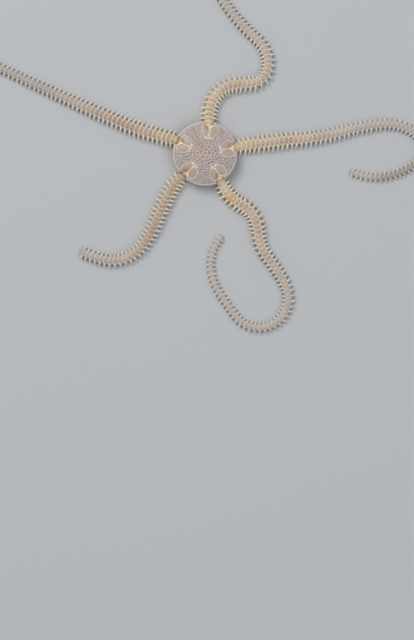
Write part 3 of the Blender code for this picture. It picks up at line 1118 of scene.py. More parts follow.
        radius = self.spine_radius * np.clip(half / full_from, least, 1.0) * np.sqrt(share)
        made = SpineBatch(root, axis, bend, length + half * sunk, radius).surface()
        each = len(made.points) // count
        made.layers["along"] = np.repeat(distance, each)
        around = (turn / (2 * math.pi)) % 1.0
        made.bake_uv = patch_chart(around, distance / self.course.tip, each)
        return made


def patch_chart(across: Array, along: Array, points_each: int) -> Array:
    """Places each small item's patch at its root on the unwrapped skin.

    Args:
        across: Each root's place round the skin, 0 to 1.
        along: Each root's place along the skin, 0 to 1.
        points_each: How many points an item has.

    Returns:
        A place for every point: the root's, plus a spot on a circle that the points share out.
    """
    radius, margin = 0.0015, 0.005
    spot = in_plan(radius, round_turns(points_each))
    root = np.stack([across, along], axis=-1) * (1.0 - 2 * margin) + margin
    return (root[:, None, :] + spot[None, :, :]).reshape(-1, 2)


@dataclass
class SpineBatch:
    """Many spines at once, as arrays with one entry each.

    Attributes:
        root: Where they start.
        axis: Their directions.
        bend: How far their tips are bent aside.
        length: Their lengths.
        radius: Their radii at the root.
        columns: How many sides a spine has.
        stations: The shares of its length at which it has a ring.
        floor_gap: How far every point stays off the floor.
    """

    root: Array
    axis: Array
    bend: Array
    length: Array
    radius: Array
    columns: int = 7
    stations: tuple[float, ...] = (0.0, 0.25, 0.5, 0.72, 0.88, 0.95)
    floor_gap: float = 0.015

    def surface(self) -> Surface:
        """The spines: at share t of its length a spine is as thick as 1 - t, bent by t squared.

        Returns:
            All of them, with each point's share of the length as the layer out.
        """
        count, rings = len(self.length), len(self.stations)
        share = np.array(self.stations)
        turn = round_turns(self.columns)
        level = np.cross(self.axis, np.array([0.0, 0.0, 1.0]))
        level /= np.linalg.norm(level, axis=1, keepdims=True)
        other = np.cross(self.axis, level)
        along = share[:, None] * self.length[:, None, None]
        middle = self.root[:, None, :] + self.axis[:, None, :] * along
        middle += self.bend[:, None, :] * share[:, None] ** 2
        thick = self.radius[:, None] * (1.0 - share)
        ring = level[:, None, :] * np.cos(turn)[:, None] + other[:, None, :] * np.sin(turn)[:, None]
        grid = middle[:, :, None, :] + ring[:, None, :, :] * thick[:, :, None, None]
        tip = self.root + self.axis * self.length[:, None] + self.bend
        points = np.concatenate([grid.reshape(count, -1, 3), middle[:, :1], tip[:, None, :]], axis=1)
        points[..., 2] = np.maximum(points[..., 2], self.floor_gap)
        out = np.concatenate([np.repeat(share, self.columns), [0.0, 1.0]])
        return tube_batch(points, rings, self.columns, {"out": np.tile(out, count)})


@dataclass
class PebbleBatch:
    """Many low rounded plates at once: superellipsoids turned about the vertical.

    Attributes:
        place: Their middles.
        size: Their lengths, widths and heights.
        turn: How far each is turned.
        columns: How many points a ring has.
        rings: How many rings a plate has.
        squareness: The power that rounds them off, 1 for an ellipsoid.
    """

    place: Array
    size: Array
    turn: Array
    columns: int = 22
    rings: int = 11
    squareness: float = 0.8

    def surface(self) -> Surface:
        """The plates: each axis is its half size times a cosine or sine to the power of the squareness.

        Returns:
            All of them in one surface.
        """
        latitude = np.linspace(-math.pi / 2, math.pi / 2, self.rings + 2)[1:-1]
        lat, lon = np.meshgrid(latitude, round_turns(self.columns), indexing="ij")
        level, rise, x, y = (signed_power(value, self.squareness)
                             for value in (np.cos(lat), np.sin(lat), np.cos(lon), np.sin(lon)))
        unit = np.stack([level * x, level * y, rise], axis=-1).reshape(-1, 3)
        unit = np.concatenate([unit, [[0.0, 0.0, -1.0], [0.0, 0.0, 1.0]]])
        local = unit[None] * (self.size / 2)[:, None, :]
        points = lifted(off_line(self.turn[:, None], local[..., 0], local[..., 1]), local[..., 2])
        return tube_batch(points + self.place[:, None, :], self.rings, self.columns, {})


def azimuths() -> Array:
    """The arms' azimuths in radians, rising."""
    return np.sort(np.radians([course.azimuth % 360.0 for course in COURSES]))


def from_nearest(turn: Array, lines: Array) -> Array:
    """The angle to the nearest of the lines' azimuths, without its sign."""
    return np.abs(wrapped(turn[..., None] - lines)).min(axis=-1)


def aside_of(radius: Array, turn: Array, lines: Array) -> Array:
    """How far points are from the nearest line: the radius times the sine of the angle to it."""
    return radius * np.sin(np.minimum(from_nearest(turn, lines), math.pi / 2))


@dataclass(frozen=True)
class ShieldShape:
    """The outlines of the ten radial shields, in plan.

    Each is a power oval, flatter towards its twin than away from it and broader towards the rim.

    Attributes:
        length: A shield's length.
        away: Half its width on the side away from its twin.
        towards: Half its width on the side of its twin.
        broadening: How much broader than its middle its outer end is.
        power: The oval's power, 2 for an ellipse.
        out: How far out its middle is.
        aside: How far aside from the pair's line its middle is.
        splay: How far it is turned out from that line, in degrees.
    """

    length: float = 2.16
    away: float = 0.72
    towards: float = 0.64
    broadening: float = 0.13
    power: float = 2.05
    out: float = 4.12
    aside: float = 0.71
    splay: float = 12.0

    def lines(self) -> Array:
        """The azimuths of the pairs, a little off those of their arms."""
        return np.radians([course.azimuth + course.shields for course in COURSES])

    def frames(self) -> tuple[Array, Array, Array]:
        """How the ten shields lie.

        Returns:
            Each one's middle, and its directions out along it and away from its twin.
        """
        line, side = (value.ravel() for value in np.meshgrid(self.lines(), SIDES, indexing="ij"))
        yaw = line + side * math.radians(self.splay)
        return off_line(line, self.out, self.aside * side), in_plan(1.0, yaw), off_line(yaw, 0.0, side)

    def half_width(self, along: Array, away: Array) -> Array:
        """Half the width at a share along, on the side that the sign of away tells."""
        return np.where(away > 0, self.away, self.towards) * (1.0 + self.broadening * along)

    def nearness(self, x: Array, y: Array) -> Array:
        """How far out points are from the nearest shield's middle: the power oval's radius.

        Args:
            x: Across, from the disc's middle.
            y: Along, from the disc's middle.

        Returns:
            The radius, 1 on the shield's outline.
        """
        best = np.full(x.shape, np.inf)
        for middle, along, away in zip(*self.frames()):
            u = ((x - middle[0]) * along[0] + (y - middle[1]) * along[1]) / (self.length / 2)
            v = (x - middle[0]) * away[0] + (y - middle[1]) * away[1]
            v = v / self.half_width(np.clip(u, -1.3, 1.3), v)
            best = np.minimum(best, (np.abs(u) ** self.power + np.abs(v) ** self.power) ** (1 / self.power))
        return best


def softened(values: Array, kernel: Array) -> Array:
    """Averages values with their neighbours, past the ends with their reflection through the end value.

    Args:
        values: The values, in a row.
        kernel: The neighbours' shares, an odd number of them.

    Returns:
        The averages.
    """
    half = len(kernel) // 2
    padded = np.concatenate([2 * values[0] - values[half:0:-1], values,
                             2 * values[-1] - values[-2:-half - 2:-1]])
    return np.convolve(padded, kernel, mode="valid")


@dataclass
class Disc:
    """The disc: one closed skin over back, rim and belly, and the radial shields.

    A row runs from 0 in the middle of the back to 1 in the middle of the belly. A span is where a smooth step
    starts and ends, or the middle and the width of a bell.

    Attributes:
        top: The height of the middle of the back.
        shoulder_height: The height at which the back meets the rim.
        dome_powers: The powers in the back's height: of the share of the radius, and of 1 less that.
        scale_height: How far the scales stand up.
        scale_bulge: What the plate and its swell add to that.
        shield_rise: How far a shield's middle stands over the back. Its edge stands over by the next size.
        shield_cover: Where a shield covers the skin, by the shield's own radius.
        shield_rings: How many radians of growth rings a shield has.
        shield_hem: (share of the outline, depth) of the rings under a shield's edge.
        spacings: (distance from the middle, spacing) of the scales.
        first_ring: The distance of the first ring of scales, one for each arm.
        ring_spacing: The distance between rings, as a share of the spacing.
        bare_mouth: The length of the profile that has no scales, at the mouth.
        scale_stray: How far a scale strays from its even place, as a share of the spacing.
        scale_sizes: The least and the greatest share of the spacing that is a scale's own.
        full_scale: The spacing at which a scale has its full height.
        scale_heights: The least and the greatest share of that height.
        notch_depth: How far the rim is drawn in over an arm, within the notch's half width.
        belly: (radius, height) from the rim to the mouth, between the arms.
        belly_from: The radius at which the back gives way to it.
        belly_heights: The heights at which the belly's colours come in, with the rows for them.
        back_rows: Where the back's marks fade out, past the shoulder.
        flatter_rows: Where the scales get flatter, by the next share.
        over_arm: Such points over an arm, which the form follows near the arm's line.
        arm_span: How far from an arm's line its profile gives way to the other.
        net_edge: From which share of the spacing a point is out of the net and in its scale.
        swell_reach: How far a scale swells, as a share of the spacing.
        lip: The cream lip of the notch, by its distance out, with its side span.
        seam: The cream seam between twin shields: its width, and where it starts.
        border: The pale borders round the shields, by the shields' own radius.
        ends: The pale spots at the shields' inner ends, out and aside.
        dot_rows: Where the rows of brown dots on the belly start, and the dots' spacing.
        dot_reach: Where the dots come in and fade out.
        dot_strength: The dots' strength, and how far it strays in waves.
        dot_waves: The waves' radians for each millimetre out, and for each radian round.
        speck: A dot's dark middle, aside from the arm and along the row.
        smear: The brown smear round it.
        halo: The beige along the arms' sides on the belly, with its reach.
        pink_reach: Where the pink of the belly fades out at the rim, and at the mouth.
        pink_aside: Where it comes in beside an arm.
        blush: The reddish spot on the back, in plan.
    """

    radius: float = 6.0
    top: float = 3.5
    shoulder_height: float = 2.65
    dome_powers: Span = (2.2, 0.8)
    columns: int = 460
    rows: int = 200
    seed: int = 7
    scale_height: float = 0.055
    scale_bulge: Span = (0.7, 0.5)
    shield_rise: float = 0.11
    shield_edge_rise: float = 0.045
    shield_sink: float = 0.05
    shield_cover: Span = (1.06, 0.94)
    shield_dome_power: float = 3.0
    shield_ring_height: float = 0.006
    shield_rings: float = 30.0
    shield_ring_from: Span = (0.3, 0.6)
    shield_growth_from: Span = (0.35, 0.7)
    shield_edge_from: Span = (0.93, 1.0)
    shield_columns: int = 56
    shield_hem: tuple[Span, ...] = ((1.02, 0.07), (0.97, 0.16), (0.5, 0.16))
    spacings: tuple[Span, ...] = ((0.8, 0.74), (2.4, 0.55), (4.4, 0.46), (7.5, 0.4))
    middle_scale: float = 0.8
    first_ring: float = 0.86
    ring_spacing: float = 0.87
    bare_mouth: float = 1.6
    scale_stray: float = 0.27
    scale_sizes: Span = (0.8, 1.25)
    full_scale: float = 0.42
    scale_heights: Span = (0.7, 1.3)
    notch_depth: float = 0.62
    notch_half: float = 0.7
    notch_reach: Span = (4.0, 5.2)
    shield: ShieldShape = field(default_factory=ShieldShape)
    belly: tuple[Span, ...] = (
        (5.86, 2.78), (5.98, 2.42), (5.99, 2.05), (5.9, 1.6), (5.68, 1.12), (5.3, 0.74), (4.8, 0.46),
        (4.3, 0.34), (3.7, 0.31), (3.1, 0.22), (2.6, 0.14), (2.1, 0.1), (1.75, 0.1), (1.6, 0.12),
        (1.5, 0.24), (1.4, 0.28), (0.0, 0.28))
    belly_from: float = 5.6
    belly_heights: Span = (1.5, 0.9)
    belly_rows: Span = (0.44, 0.5)
    back_rows: Span = (0.46, 0.42)
    cream_rows: Span = (0.52, 0.48)
    mouth_row: float = 0.6
    flatter_rows: Span = (0.4, 0.46)
    flatter_by: float = 0.5
    over_arm: tuple[Span, ...] = (
        (5.0, 2.9), (5.3, 2.66), (5.5, 2.42), (5.58, 2.2), (5.4, 1.9), (4.9, 1.68), (4.2, 1.6),
        (3.6, 1.4), (3.0, 0.85), (2.6, 0.4), (2.1, 0.14), (1.75, 0.12), (1.6, 0.14), (1.5, 0.24),
        (1.4, 0.28), (0.0, 0.28))
    over_arm_from: float = 4.7
    arm_span: Span = (1.02, 0.62)
    net_edge: Span = (0.1, 0.5)
    swell_reach: float = 0.62
    lip: Span = (5.3, 0.2)
    lip_side: Span = (0.86, 0.62)
    lip_strength: float = 1.3
    seam: Span = (0.0, 0.1)
    seam_reach: Span = (3.0, 3.4)
    seam_strength: float = 0.6
    border: Span = (1.1, 0.075)
    border_strength: float = 0.8
    ends: Spot = Spot((2.86, 0.24), (0.3, 0.34), 0.8)
    dot_rows: Span = (1.7, 0.88)
    dot_reach: tuple[Span, Span] = ((2.2, 2.5), (5.6, 5.0))
    dot_strength: Span = (0.8, 0.35)
    dot_waves: Span = (5.0, 9.0)
    speck: Spot = Spot((1.11, 0.12), (0.0, 0.15))
    smear: Spot = Spot((1.3, 0.26), (0.0, 0.22), 0.42)
    halo: Span = (1.0, 0.34)
    halo_strength: float = 0.85
    halo_reach: Span = (5.8, 4.6)
    pink_reach: tuple[Span, Span] = ((5.9, 4.5), (2.4, 3.2))
    pink_aside: Span = (0.9, 1.6)
    frame_reach: Span = (3.2, 2.4)
    mouth_reach: Span = (1.7, 1.45)
    blush: Spot = Spot((-0.9, 1.183216), (1.8, 1.183216), 1.2)
    warm_middle: Span = (0.0, 1.5)
    rim_strength: float = 0.85
    rim_height: Span = (2.66, 0.17)
    rim_reach: Span = (5.5, 5.8)

    def dome(self, radius: Array) -> Array:
        """The back's height: the shoulder's, plus the rest times a power of (1 - a power of the share)."""
        share = np.clip(radius / self.radius, 0.0, 1.0)
        inner, outer = self.dome_powers
        return self.shoulder_height + (self.top - self.shoulder_height) * (1.0 - share ** inner) ** outer

    def profile(self, lower: Sequence[Span], last: float) -> tuple[Array, Array]:
        """Radius and height from the middle of the back, round the rim, to the middle of the belly.

        Args:
            lower: (radius, height) points past the back.
            last: The radius at which the back gives way to them.

        Returns:
            Radius and height at equal steps of length, softened over a short stretch.
        """
        back_points, fineness, window = 60, 1200, 51
        back = np.linspace(0.0, last, back_points)
        radius = np.concatenate([back, [point[0] for point in lower]])
        height = np.concatenate([self.dome(back), [point[1] for point in lower]])
        length = running_total(np.hypot(np.diff(radius), np.diff(height)))
        fine = np.linspace(0.0, length[-1], fineness)
        kernel = np.hanning(window)[1:-1]
        kernel /= kernel.sum()
        pick = np.linspace(0, fineness - 1, self.rows).astype(int)
        radius, height = (softened(np.interp(fine, length, values), kernel)[pick]
                          for values in (radius, height))
        return radius, height

    def plain(self, turn: Array) -> Array:
        """The disc's plain form on a grid of rows and turns.

        Between the arms it follows one profile, over an arm another that stays above it, and a smooth step of
        the distance from the arm's line blends them.

        Args:
            turn: Azimuths of the columns.

        Returns:
            Points as rows, columns, xyz.
        """
        between = self.profile(self.belly, self.belly_from)
        over = self.profile(self.over_arm, self.over_arm_from)
        share = smooth(aside_of(between[0][:, None], turn, azimuths()), *self.arm_span)
        drawn_in = self.notch(aside_of(over[0][:, None], turn, azimuths()))
        drawn_in = drawn_in * smooth(over[0], *self.notch_reach)[:, None]
        reach = between[0][:, None] * (1 - share) + (over[0][:, None] - drawn_in) * share
        height = between[1][:, None] * (1 - share) + over[1][:, None] * share
        return lifted(in_plan(reach, turn), height)

    def notch(self, aside: Array) -> Array:
        """How far the rim is drawn in, deepest on the arm's line, so that the arm enters a V."""
        return self.notch_depth * np.clip(1.0 - aside / self.notch_half, 0.0, 1.0)

    def back_height(self, x: Array, y: Array) -> Array:
        """The height of the back at points in plan, read off the plain form at their azimuths.

        Args:
            x: Across, from the disc's middle.
            y: Along, from the disc's middle.

        Returns:
            The heights, from a straight line between the two rows on either side of each point's radius.
        """
        radius = np.hypot(x, y).ravel()
        lines = self.plain(np.arctan2(y, x).ravel())[: self.rows // 2]
        reach = np.maximum.accumulate(np.hypot(lines[..., 0], lines[..., 1]), axis=0)
        after = np.clip((reach < radius).sum(axis=0), 1, len(reach) - 1)
        column = np.arange(len(radius))
        near, far = reach[after - 1, column], reach[after, column]
        share = np.clip((radius - near) / np.maximum(far - near, 1e-6), 0.0, 1.0)
        height = lines[after - 1, column, 2] * (1.0 - share) + lines[after, column, 2] * share
        return height.reshape(x.shape)

    def scale_centres(self, reach: Array, height: Array) -> tuple[Array, Array]:
        """The middles of the scales, ring by ring from the middle of the back to the belly.

        Args:
            reach: The profile's radius.
            height: The profile's height.

        Returns:
            Their points, and the spacing at each.
        """
        random = np.random.default_rng(self.seed)
        length = running_total(np.hypot(np.diff(reach), np.diff(height)))
        centres, spacings = [np.array([[0.0, 0.0, self.top]])], [np.array([self.middle_scale])]
        along, ring = self.first_ring, 0
        while along < length[-1] - self.bare_mouth:
            radius = float(np.interp(along, length, reach))
            spacing = float(np.interp(along, *zip(*self.spacings)))
            count = len(COURSES) if ring == 0 else int(round(2 * math.pi * radius / spacing))
            turn = (np.arange(count) + (ring % 2) / 2) / count * 2 * math.pi + azimuths()[0]
            stray = self.scale_stray * spacing * (ring > 0)
            turn = turn + random.uniform(-stray, stray, count) / radius
            place = along + random.uniform(-stray, stray, count)
            plan = in_plan(np.interp(place, length, reach), turn)
            centres.append(lifted(plan, np.interp(place, length, height)))
            spacings.append(spacing * random.uniform(*self.scale_sizes, count))
            along += spacing * self.ring_spacing
            ring += 1
        return np.concatenate(centres), np.concatenate(spacings)

    def cells(self, points: Array, centres: Array) -> tuple[Array, Array, Array]:
        """Finds each point's two nearest scales, in parts so that the table of distances stays small.

        Args:
            points: The points, in a row.
            centres: The scales' middles.

        Returns:
            The distances to the nearest and the second, and which is nearest.
        """
        parts, found = 48, []
        for chunk in np.array_split(points, parts):
            square = (chunk ** 2).sum(1)[:, None] + (centres ** 2).sum(1)[None] - 2 * chunk @ centres.T
            away = np.sqrt(np.maximum(square, 0.0))
            nearest = np.argmin(away, axis=1)
            place = (np.arange(len(chunk)), nearest)
            first = away[place]
            away[place] = np.inf
            found.append((first, away.min(axis=1), nearest))
        first, second, which = (np.concatenate(values) for values in zip(*found))
        return first, second, which

    def scales(self, grid: Array, turn: Array) -> tuple[Array, Array, Array]:
        """How each point lies on its scale.

        Args:
            grid: The plain form's points.
            turn: Azimuths of its columns.

        Returns:
            1 inside a scale and 0 in the net, the height of the scales, and the scale's tone.
        """
        shape = grid.shape[:2]
        middle = np.argmax(from_nearest(turn, azimuths()))
        reach = np.hypot(grid[:, middle, 0], grid[:, middle, 1])
        centres, spacing = self.scale_centres(reach, grid[:, middle, 2])
        near, second, which = self.cells(grid.reshape(-1, 3), centres)
        tones = np.random.default_rng(self.seed + 1).uniform(0.0, 1.0, len(centres))
        values = (near, second, spacing[which], tones[which])
        near, second, room, tone = (value.reshape(shape) for value in values)
        inside = smooth((second - near) / room, *self.net_edge)
        swell = 1.0 - np.clip(near / (self.swell_reach * room), 0.0, 1.0) ** 2
        height = self.scale_height * (inside * self.scale_bulge[0] + swell * self.scale_bulge[1])
        return inside, height * np.clip(room / self.full_scale, *self.scale_heights), tone

    def outward(self, grid: Array) -> Array:
        """The directions out of the form: its rows' steps crossed with its columns'.

        Args:
            grid: Points as rows, columns, xyz.

        Returns:
            The directions, straight up in the first rows and straight down in the last.
        """
        across = np.roll(grid, -1, axis=1) - np.roll(grid, 1, axis=1)
        out = np.cross(np.gradient(grid, axis=0), across)
        out /= np.maximum(np.linalg.norm(out, axis=-1, keepdims=True), 1e-9)
        out[:2], out[-2:] = (0.0, 0.0, 1.0), (0.0, 0.0, -1.0)
        return out

    def back_marks(self, radius: Array, turn: Array, shield: Array) -> tuple[Array, Array]:
        """The marks round the shields: cream lips and seams, and pale borders and ends.

        Args:
            radius: The points' distances from the disc's middle, in plan.
            turn: Azimuths of the columns.
            shield: How far out they are from the nearest shield's middle.

        Returns:
            The cream and the pale.
        """
        aside = aside_of(radius, turn, azimuths())
        between = aside_of(radius, turn, self.shield.lines())
        out = np.sqrt(np.maximum(radius ** 2 - aside ** 2, 0.0))
        lip = self.lip_strength * bell(out + self.notch(aside), *self.lip) * smooth(aside, *self.lip_side)
        seam = self.seam_strength * bell(between, *self.seam) * smooth(out, *self.seam_reach)
        border = self.border_strength * bell(shield, *self.border)
        pale = border + self.ends.at(out, between)
        return np.clip(np.maximum(lip, seam * (shield > 1.0)), 0, 1), np.clip(pale, 0, 1)

    def belly_marks(self, radius: Array, turn: Array) -> tuple[Array, Array, Array]:
        """The marks on the underside: rows of brown dots, beige along the arms, and pink between them.

        Args:
            radius: The points' distances from the disc's middle, in plan.
            turn: Azimuths of the columns.

        Returns:
            The dots, the beige and the pink.
        """
        aside = aside_of(radius, turn, azimuths())
        out = np.sqrt(np.maximum(radius ** 2 - aside ** 2, 0.0))
        start, spacing = self.dot_rows
        pitch = ((out - start) / spacing) % 1.0 - 0.5
        waves = np.sin(self.dot_waves[0] * out + self.dot_waves[1] * turn)
        uneven = self.dot_strength[0] + self.dot_strength[1] * waves
        dots = uneven * (self.speck.at(aside, pitch) + self.smear.at(aside, pitch))
        begin, end = self.dot_reach
        beige = self.halo_strength * bell(aside, *self.halo) * smooth(radius, *self.halo_reach)
        rim, mouth = self.pink_reach
        pink = smooth(radius, *rim) * smooth(radius, *mouth) * smooth(aside, *self.pink_aside)
        return dots * smooth(radius, *begin) * smooth(radius, *end), beige, pink

    def skin(self) -> Surface:
        """The whole skin, scales raised, with the layers for its finish.

        Returns:
            The closed skin.
        """
        turn = round_turns(self.columns)
        plain = self.plain(turn)
        row = np.broadcast_to(np.linspace(0.0, 1.0, self.rows)[:, None], plain.shape[:2])
        x, y, height = (plain[..., i] for i in range(3))
        radius = np.hypot(x, y)
        inside, lift, tone = self.scales(plain, turn)
        back = smooth(row, *self.back_rows)
        below = smooth(height, *self.belly_heights) * smooth(row, *self.belly_rows)
        shield = self.shield.nearness(x, y)
        covered = back * smooth(shield, *self.shield_cover)
        lift = lift * (1.0 - self.flatter_by * smooth(row, *self.flatter_rows))
        lift = lift * (1.0 - covered) - self.shield_sink * covered
        grid = plain + self.outward(plain) * lift[..., None]
        cream, pale = self.back_marks(radius, turn, shield)
        dots, beige, pink = self.belly_marks(radius, turn)
        layers = {
            "cell": inside,
            "tone": tone * inside,
            "tan": bell(radius, *self.warm_middle) * back,
            "blush": np.clip(self.blush.at(x, y), 0, 1) * back,
            "under": below,
            "pink": below * pink,
            "rim": self.rim_strength * bell(grid[..., 2], *self.rim_height) * smooth(radius, *self.rim_reach),
            "pale": pale * back,
            "cream": cream * smooth(row, *self.cream_rows),
            "spot": np.clip(dots * below, 0, 1),
            "frame": below * np.maximum(smooth(radius, *self.frame_reach), beige),
            "mouth": smooth(radius, *self.mouth_reach) * (row > self.mouth_row),
        }
        return closed_tube(grid, layers)

    def shields(self) -> Surface:
        """The ten radial shields: low domes on their outlines that follow the back's curve.

        Returns:
            All ten in one surface.
        """
        upper = np.concatenate([np.linspace(0.05, 0.85, 8), np.linspace(0.89, 1.0, 5)])
        hem, depth = np.array(self.shield_hem).T
        drop = np.concatenate([np.zeros(len(upper)), depth])
        share = np.concatenate([upper, hem])
        size, angle = np.meshgrid(share, round_turns(self.shield_columns), indexing="ij")
        fullness = 2.0 / self.shield.power
        u, v = (size * signed_power(value, fullness) for value in (np.cos(angle), np.sin(angle)))
        width = v * self.shield.half_width(u, v)
        edge = self.shield_edge_rise
        rise = edge + (self.shield_rise - edge) * (1.0 - np.clip(size, 0, 1) ** self.shield_dome_power)
        rings = np.sin(size * self.shield_rings)
        rise += self.shield_ring_height * rings * smooth(size, *self.shield_ring_from)
        layers = {"edge": smooth(size, *self.shield_edge_from),
                  "growth": rings * smooth(size, *self.shield_growth_from)}
        pieces = []
        for middle, along, away in zip(*self.shield.frames()):
            plan = middle + u[..., None] * self.shield.length / 2 * along + width[..., None] * away
            height = self.back_height(plan[..., 0], plan[..., 1]) + rise - drop[:, None]
            pieces.append(closed_tube(lifted(plan, height), layers))
        return joined(pieces)


@dataclass
class Mouth:
    """The mouth frame: five wedge-shaped jaws with slits between them, and the plates on and behind them.

    Attributes:
        tip: How near to the middle a jaw comes.
        end: How far out it reaches.
        slit: Half the width of the slits.
        bottom: The level of its lower face.
        top: The level of its upper face, inside the disc.
        plates: For each small plate of half a jaw, its distance out and aside from the jaw's line, its
            length, width and thickness, its turn from that line in degrees, and its middle's height.
        papillae: Distances out along a slit of the papillae on both its edges.
        papilla_turn: How far they are turned from the slit, in radians.
        shield: The plate behind each jaw: its distance out and its middle's height.
        gold_aside: Where the gold along the slits fades, aside from them.
        gold_reach: Where it fades on its way out.
    """

    tip: float = 0.24
    end: float = 1.66
    slit: float = 0.085
    bottom: float = 0.08
    top: float = 1.2
    plates: tuple[tuple[float, ...], ...] = ((1.9, 0.5, 1.02, 0.5, 0.16, 62, 0.14),
                                             (2.34, 0.82, 0.66, 0.38, 0.14, 80, 0.15))
    papillae: tuple[float, ...] = (0.38, 0.6)
    papilla_size: tuple[float, float, float] = (0.2, 0.08, 0.12)
    papilla_turn: float = 0.5
    papilla_lift: float = 0.09
    shield: Span = (2.42, 0.145)
    shield_size: tuple[float, float, float] = (0.94, 1.12, 0.16)
    ridge: Span = (0.0, 0.07)
    ridge_height: float = 0.06
    gold_aside: Span = (0.75, 0.06)
    gold_reach: Span = (2.0, 1.3)

    def jaw(self, line: float, half: float) -> Surface:
        """One jaw between two slits.

        Its outline is a wedge whose edges keep the slit's half width from the slits' lines, rounded by
        averaging, and its lower face is drawn in and down in rings.

        Args:
            line: The jaw's azimuth.
            half: The angle from it to the slits.

        Returns:
            The jaw.
        """
        steps = 26
        radius = np.linspace(self.tip, self.end, steps)
        open_by = half - np.arcsin(self.slit / radius)
        arc = np.linspace(open_by[-1], -open_by[-1], steps)[1:-1]
        far = np.concatenate([radius, np.full(len(arc), self.end), radius[::-1]])
        outline = in_plan(far, line + np.concatenate([open_by, arc, -open_by[::-1]]))
        for _ in range(3):
            outline = (np.roll(outline, 1, axis=0) + 2 * outline + np.roll(outline, -1, axis=0)) / 4
        middle = outline.mean(axis=0)
        share = np.array([0.05, 0.3, 0.5, 0.68, 0.82, 0.92, 0.98, 1.0, 1.0, 0.1])
        level = self.bottom + np.array([0.0, 0.0, 0.0, 0.01, 0.02, 0.04, 0.08, 0.15, 0.0, 0.0])
        level[-2:] = self.top
        plan = middle + (outline[None] - middle) * share[:, None, None]
        aside = plan[..., 0] * -math.sin(line) + plan[..., 1] * math.cos(line)
        ridge = self.ridge_height * bell(aside, *self.ridge) * (share < 0.95)[:, None]
        return closed_tube(lifted(plan, level[:, None] + ridge), {})

    def small_plates(self, middle: Array) -> Surface:
        """The shields and side plates behind each jaw and the papillae along the slits.

        Args:
            middle: The jaws' azimuths.

        Returns:
            All of them in one surface.
        """
        plates = np.array(self.plates)
        line, side, which = (value.ravel() for value in
                             np.meshgrid(middle, SIDES, np.arange(len(plates)), indexing="ij"))
        out, beside, *size, turned, height = plates[which].T
        slit, edge, reach = (value.ravel() for value in
                             np.meshgrid(azimuths(), SIDES, np.array(self.papillae), indexing="ij"))
        papilla_height = np.full(len(slit), self.bottom + self.papilla_lift)
        aside = self.slit + self.papilla_size[1] * 0.7
        shield_out, shield_height = self.shield
        place = np.concatenate([
            lifted(off_line(line, out, beside * side), height),
            lifted(off_line(slit, reach, aside * edge), papilla_height),
            lifted(off_line(middle, shield_out, 0.0), np.full(len(middle), shield_height))])
        turn = np.concatenate([line + np.radians(turned) * side, slit + self.papilla_turn * edge, middle])
        sizes = np.concatenate([np.stack(size, axis=-1), np.tile(self.papilla_size, (len(slit), 1)),
                                np.tile(self.shield_size, (len(middle), 1))])
        return PebbleBatch(place, sizes, turn).surface()

    def surface(self) -> Surface:
        """All the plates of the mouth.

        Returns:
            One surface, with the gold along the slits as a layer.
        """
        lines = azimuths()
        gap = wrapped(np.roll(lines, -1) - lines) % (2 * math.pi)
        middle = lines + gap / 2
        jaws = [self.jaw(line, half) for line, half in zip(middle, gap / 2)]
        made = joined([*jaws, self.small_plates(middle)])
        x, y, _ = made.points.T
        radius = np.hypot(x, y)
        aside = aside_of(radius, np.arctan2(y, x), lines)
        made.layers["gold"] = smooth(aside, *self.gold_aside) * smooth(radius, *self.gold_reach)
        return made


@dataclass(frozen=True)
class SoftLight:
    """A square soft light aimed at the model.

    Attributes:
        name: Its name.
        place: Where it stands, in metres.
        size: The length of its side, in metres.
        watts: Its power.
        tint: Its colour.
    """

    name: str
    place: tuple[float, float, float]
    size: float
    watts: float
    tint: Colour

    def hang(self) -> None:
        """Adds the light to the scene."""
        data = bpy.data.lights.new(self.name, "AREA")
        data.size, data.energy, data.color = self.size, self.watts, self.tint
        lamp = bpy.data.objects.new(self.name, data)
        lamp.location = self.place
        lamp.rotation_euler = Vector(self.place).to_track_quat("Z", "Y").to_euler()
        bpy.context.scene.collection.objects.link(lamp)


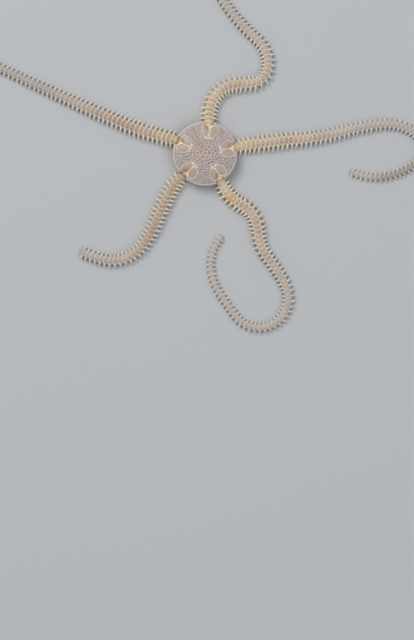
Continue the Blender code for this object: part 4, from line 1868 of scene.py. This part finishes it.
@dataclass
class Studio:
    """The floor, the lights and the camera.

    Attributes:
        lens: The focal length.
        sensor: The length of the sensor's longer side.
        pixel: The length on the model that a pixel of the photograph shows.
        frame_height: The photograph's height in pixels.
        disc_pixel: The pixel on the middle of the disc.
        aim_pixel: The pixel at the photograph's middle.
        floor_size: The length of the floor's side.
        lamps: A large key from the upper left and a weaker fill from the right.
        surround: The colour of the even light from all round, and its strength.
    """

    lens: float = 180.0
    sensor: float = 36.0
    pixel: float = 12.0 / 64.6
    frame_height: int = 640
    disc_pixel: Span = (205.0, 154.2)
    aim_pixel: Span = (207.0, 320.0)
    floor_size: float = 6000.0
    lamps: tuple[SoftLight, ...] = (
        SoftLight("key", (-0.22, 0.26, 0.54), 0.36, 2.5, (1.0, 0.98, 0.95)),
        SoftLight("fill", (0.26, -0.14, 0.58), 0.5, 1.2, (0.95, 0.97, 1.0)))
    surround: tuple[Colour, float] = ((0.92, 0.95, 1.0), 0.42)

    def floor(self) -> None:
        """Lays the floor: one large square at the level that the arms lie on."""
        half = self.floor_size * MM / 2
        corners = [(-half, -half, 0), (half, -half, 0), (half, half, 0), (-half, half, 0)]
        mesh = bpy.data.meshes.new("floor")
        mesh.from_pydata(corners, [], [(0, 1, 2, 3)])
        mesh.materials.append(FloorFinish().material())
        floor = bpy.data.objects.new("floor", mesh)
        bpy.context.scene.collection.objects.link(floor)

    def lights(self) -> None:
        """Hangs the lamps and lights the surround."""
        for lamp in self.lamps:
            lamp.hang()
        colour, strength = self.surround
        world = bpy.data.worlds.new("surround")
        world.use_nodes = True
        back = world.node_tree.nodes["Background"]
        back.inputs["Color"].default_value = (*colour, 1.0)
        back.inputs["Strength"].default_value = strength
        bpy.context.scene.world = world

    def camera(self) -> None:
        """A long lens straight above, so that a pixel of the photograph is the same length all over."""
        centre = disc_centre()
        across = (self.aim_pixel[0] - self.disc_pixel[0]) * self.pixel
        down = (self.aim_pixel[1] - self.disc_pixel[1]) * self.pixel
        height = self.frame_height * self.pixel * self.lens / self.sensor
        data = bpy.data.cameras.new("camera")
        data.lens, data.sensor_width = self.lens, self.sensor
        data.clip_start, data.clip_end = 0.01, 10.0
        camera = bpy.data.objects.new("camera", data)
        camera.location = ((centre[0] + across) * MM, (centre[1] - down) * MM, height * MM)
        bpy.context.scene.collection.objects.link(camera)
        bpy.context.scene.camera = camera


def place_piece(surface: Surface, name: str, material: bpy.types.Material,
                stands_for: Sequence[str]) -> None:
    """Makes a piece, dresses it and ties it to the model.

    Args:
        surface: Its shape.
        name: Its name.
        material: Its finish.
        stands_for: The solids that it replaces.
    """
    piece = surface.to_object(name)
    piece.data.materials.append(material)
    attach(piece, "root")
    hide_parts(*stands_for)
    LOG.info("%s: %d faces", name, len(piece.data.polygons))


def main() -> None:
    """Builds the star and its studio."""
    logging.basicConfig(level=logging.INFO, format="%(message)s")
    disc = Disc()
    place_piece(disc.skin(), "disc_skin", DiscFinish().material(), ["disc", *nodes_of("belly_")])
    place_piece(disc.shields(), "radial_shields", ShieldFinish().material(), ["disc"])
    place_piece(Mouth().surface(), "mouth_plates", MouthFinish().material(), nodes_of("jaw_"))
    plates, spines = ArmFinish().material(), SpineFinish().material()
    for number, course in enumerate(COURSES):
        arm = Arm(course, number)
        nodes = nodes_of(f"arm_{course.name}_")
        place_piece(arm.skin(), f"arm_{course.name}_plates", plates, nodes)
        place_piece(arm.spines(), f"arm_{course.name}_spines", spines, nodes)
    studio = Studio()
    studio.floor()
    studio.lights()
    studio.camera()
    bpy.context.scene.view_settings.view_transform = "Standard"


if __name__ == "__main__":
    main()
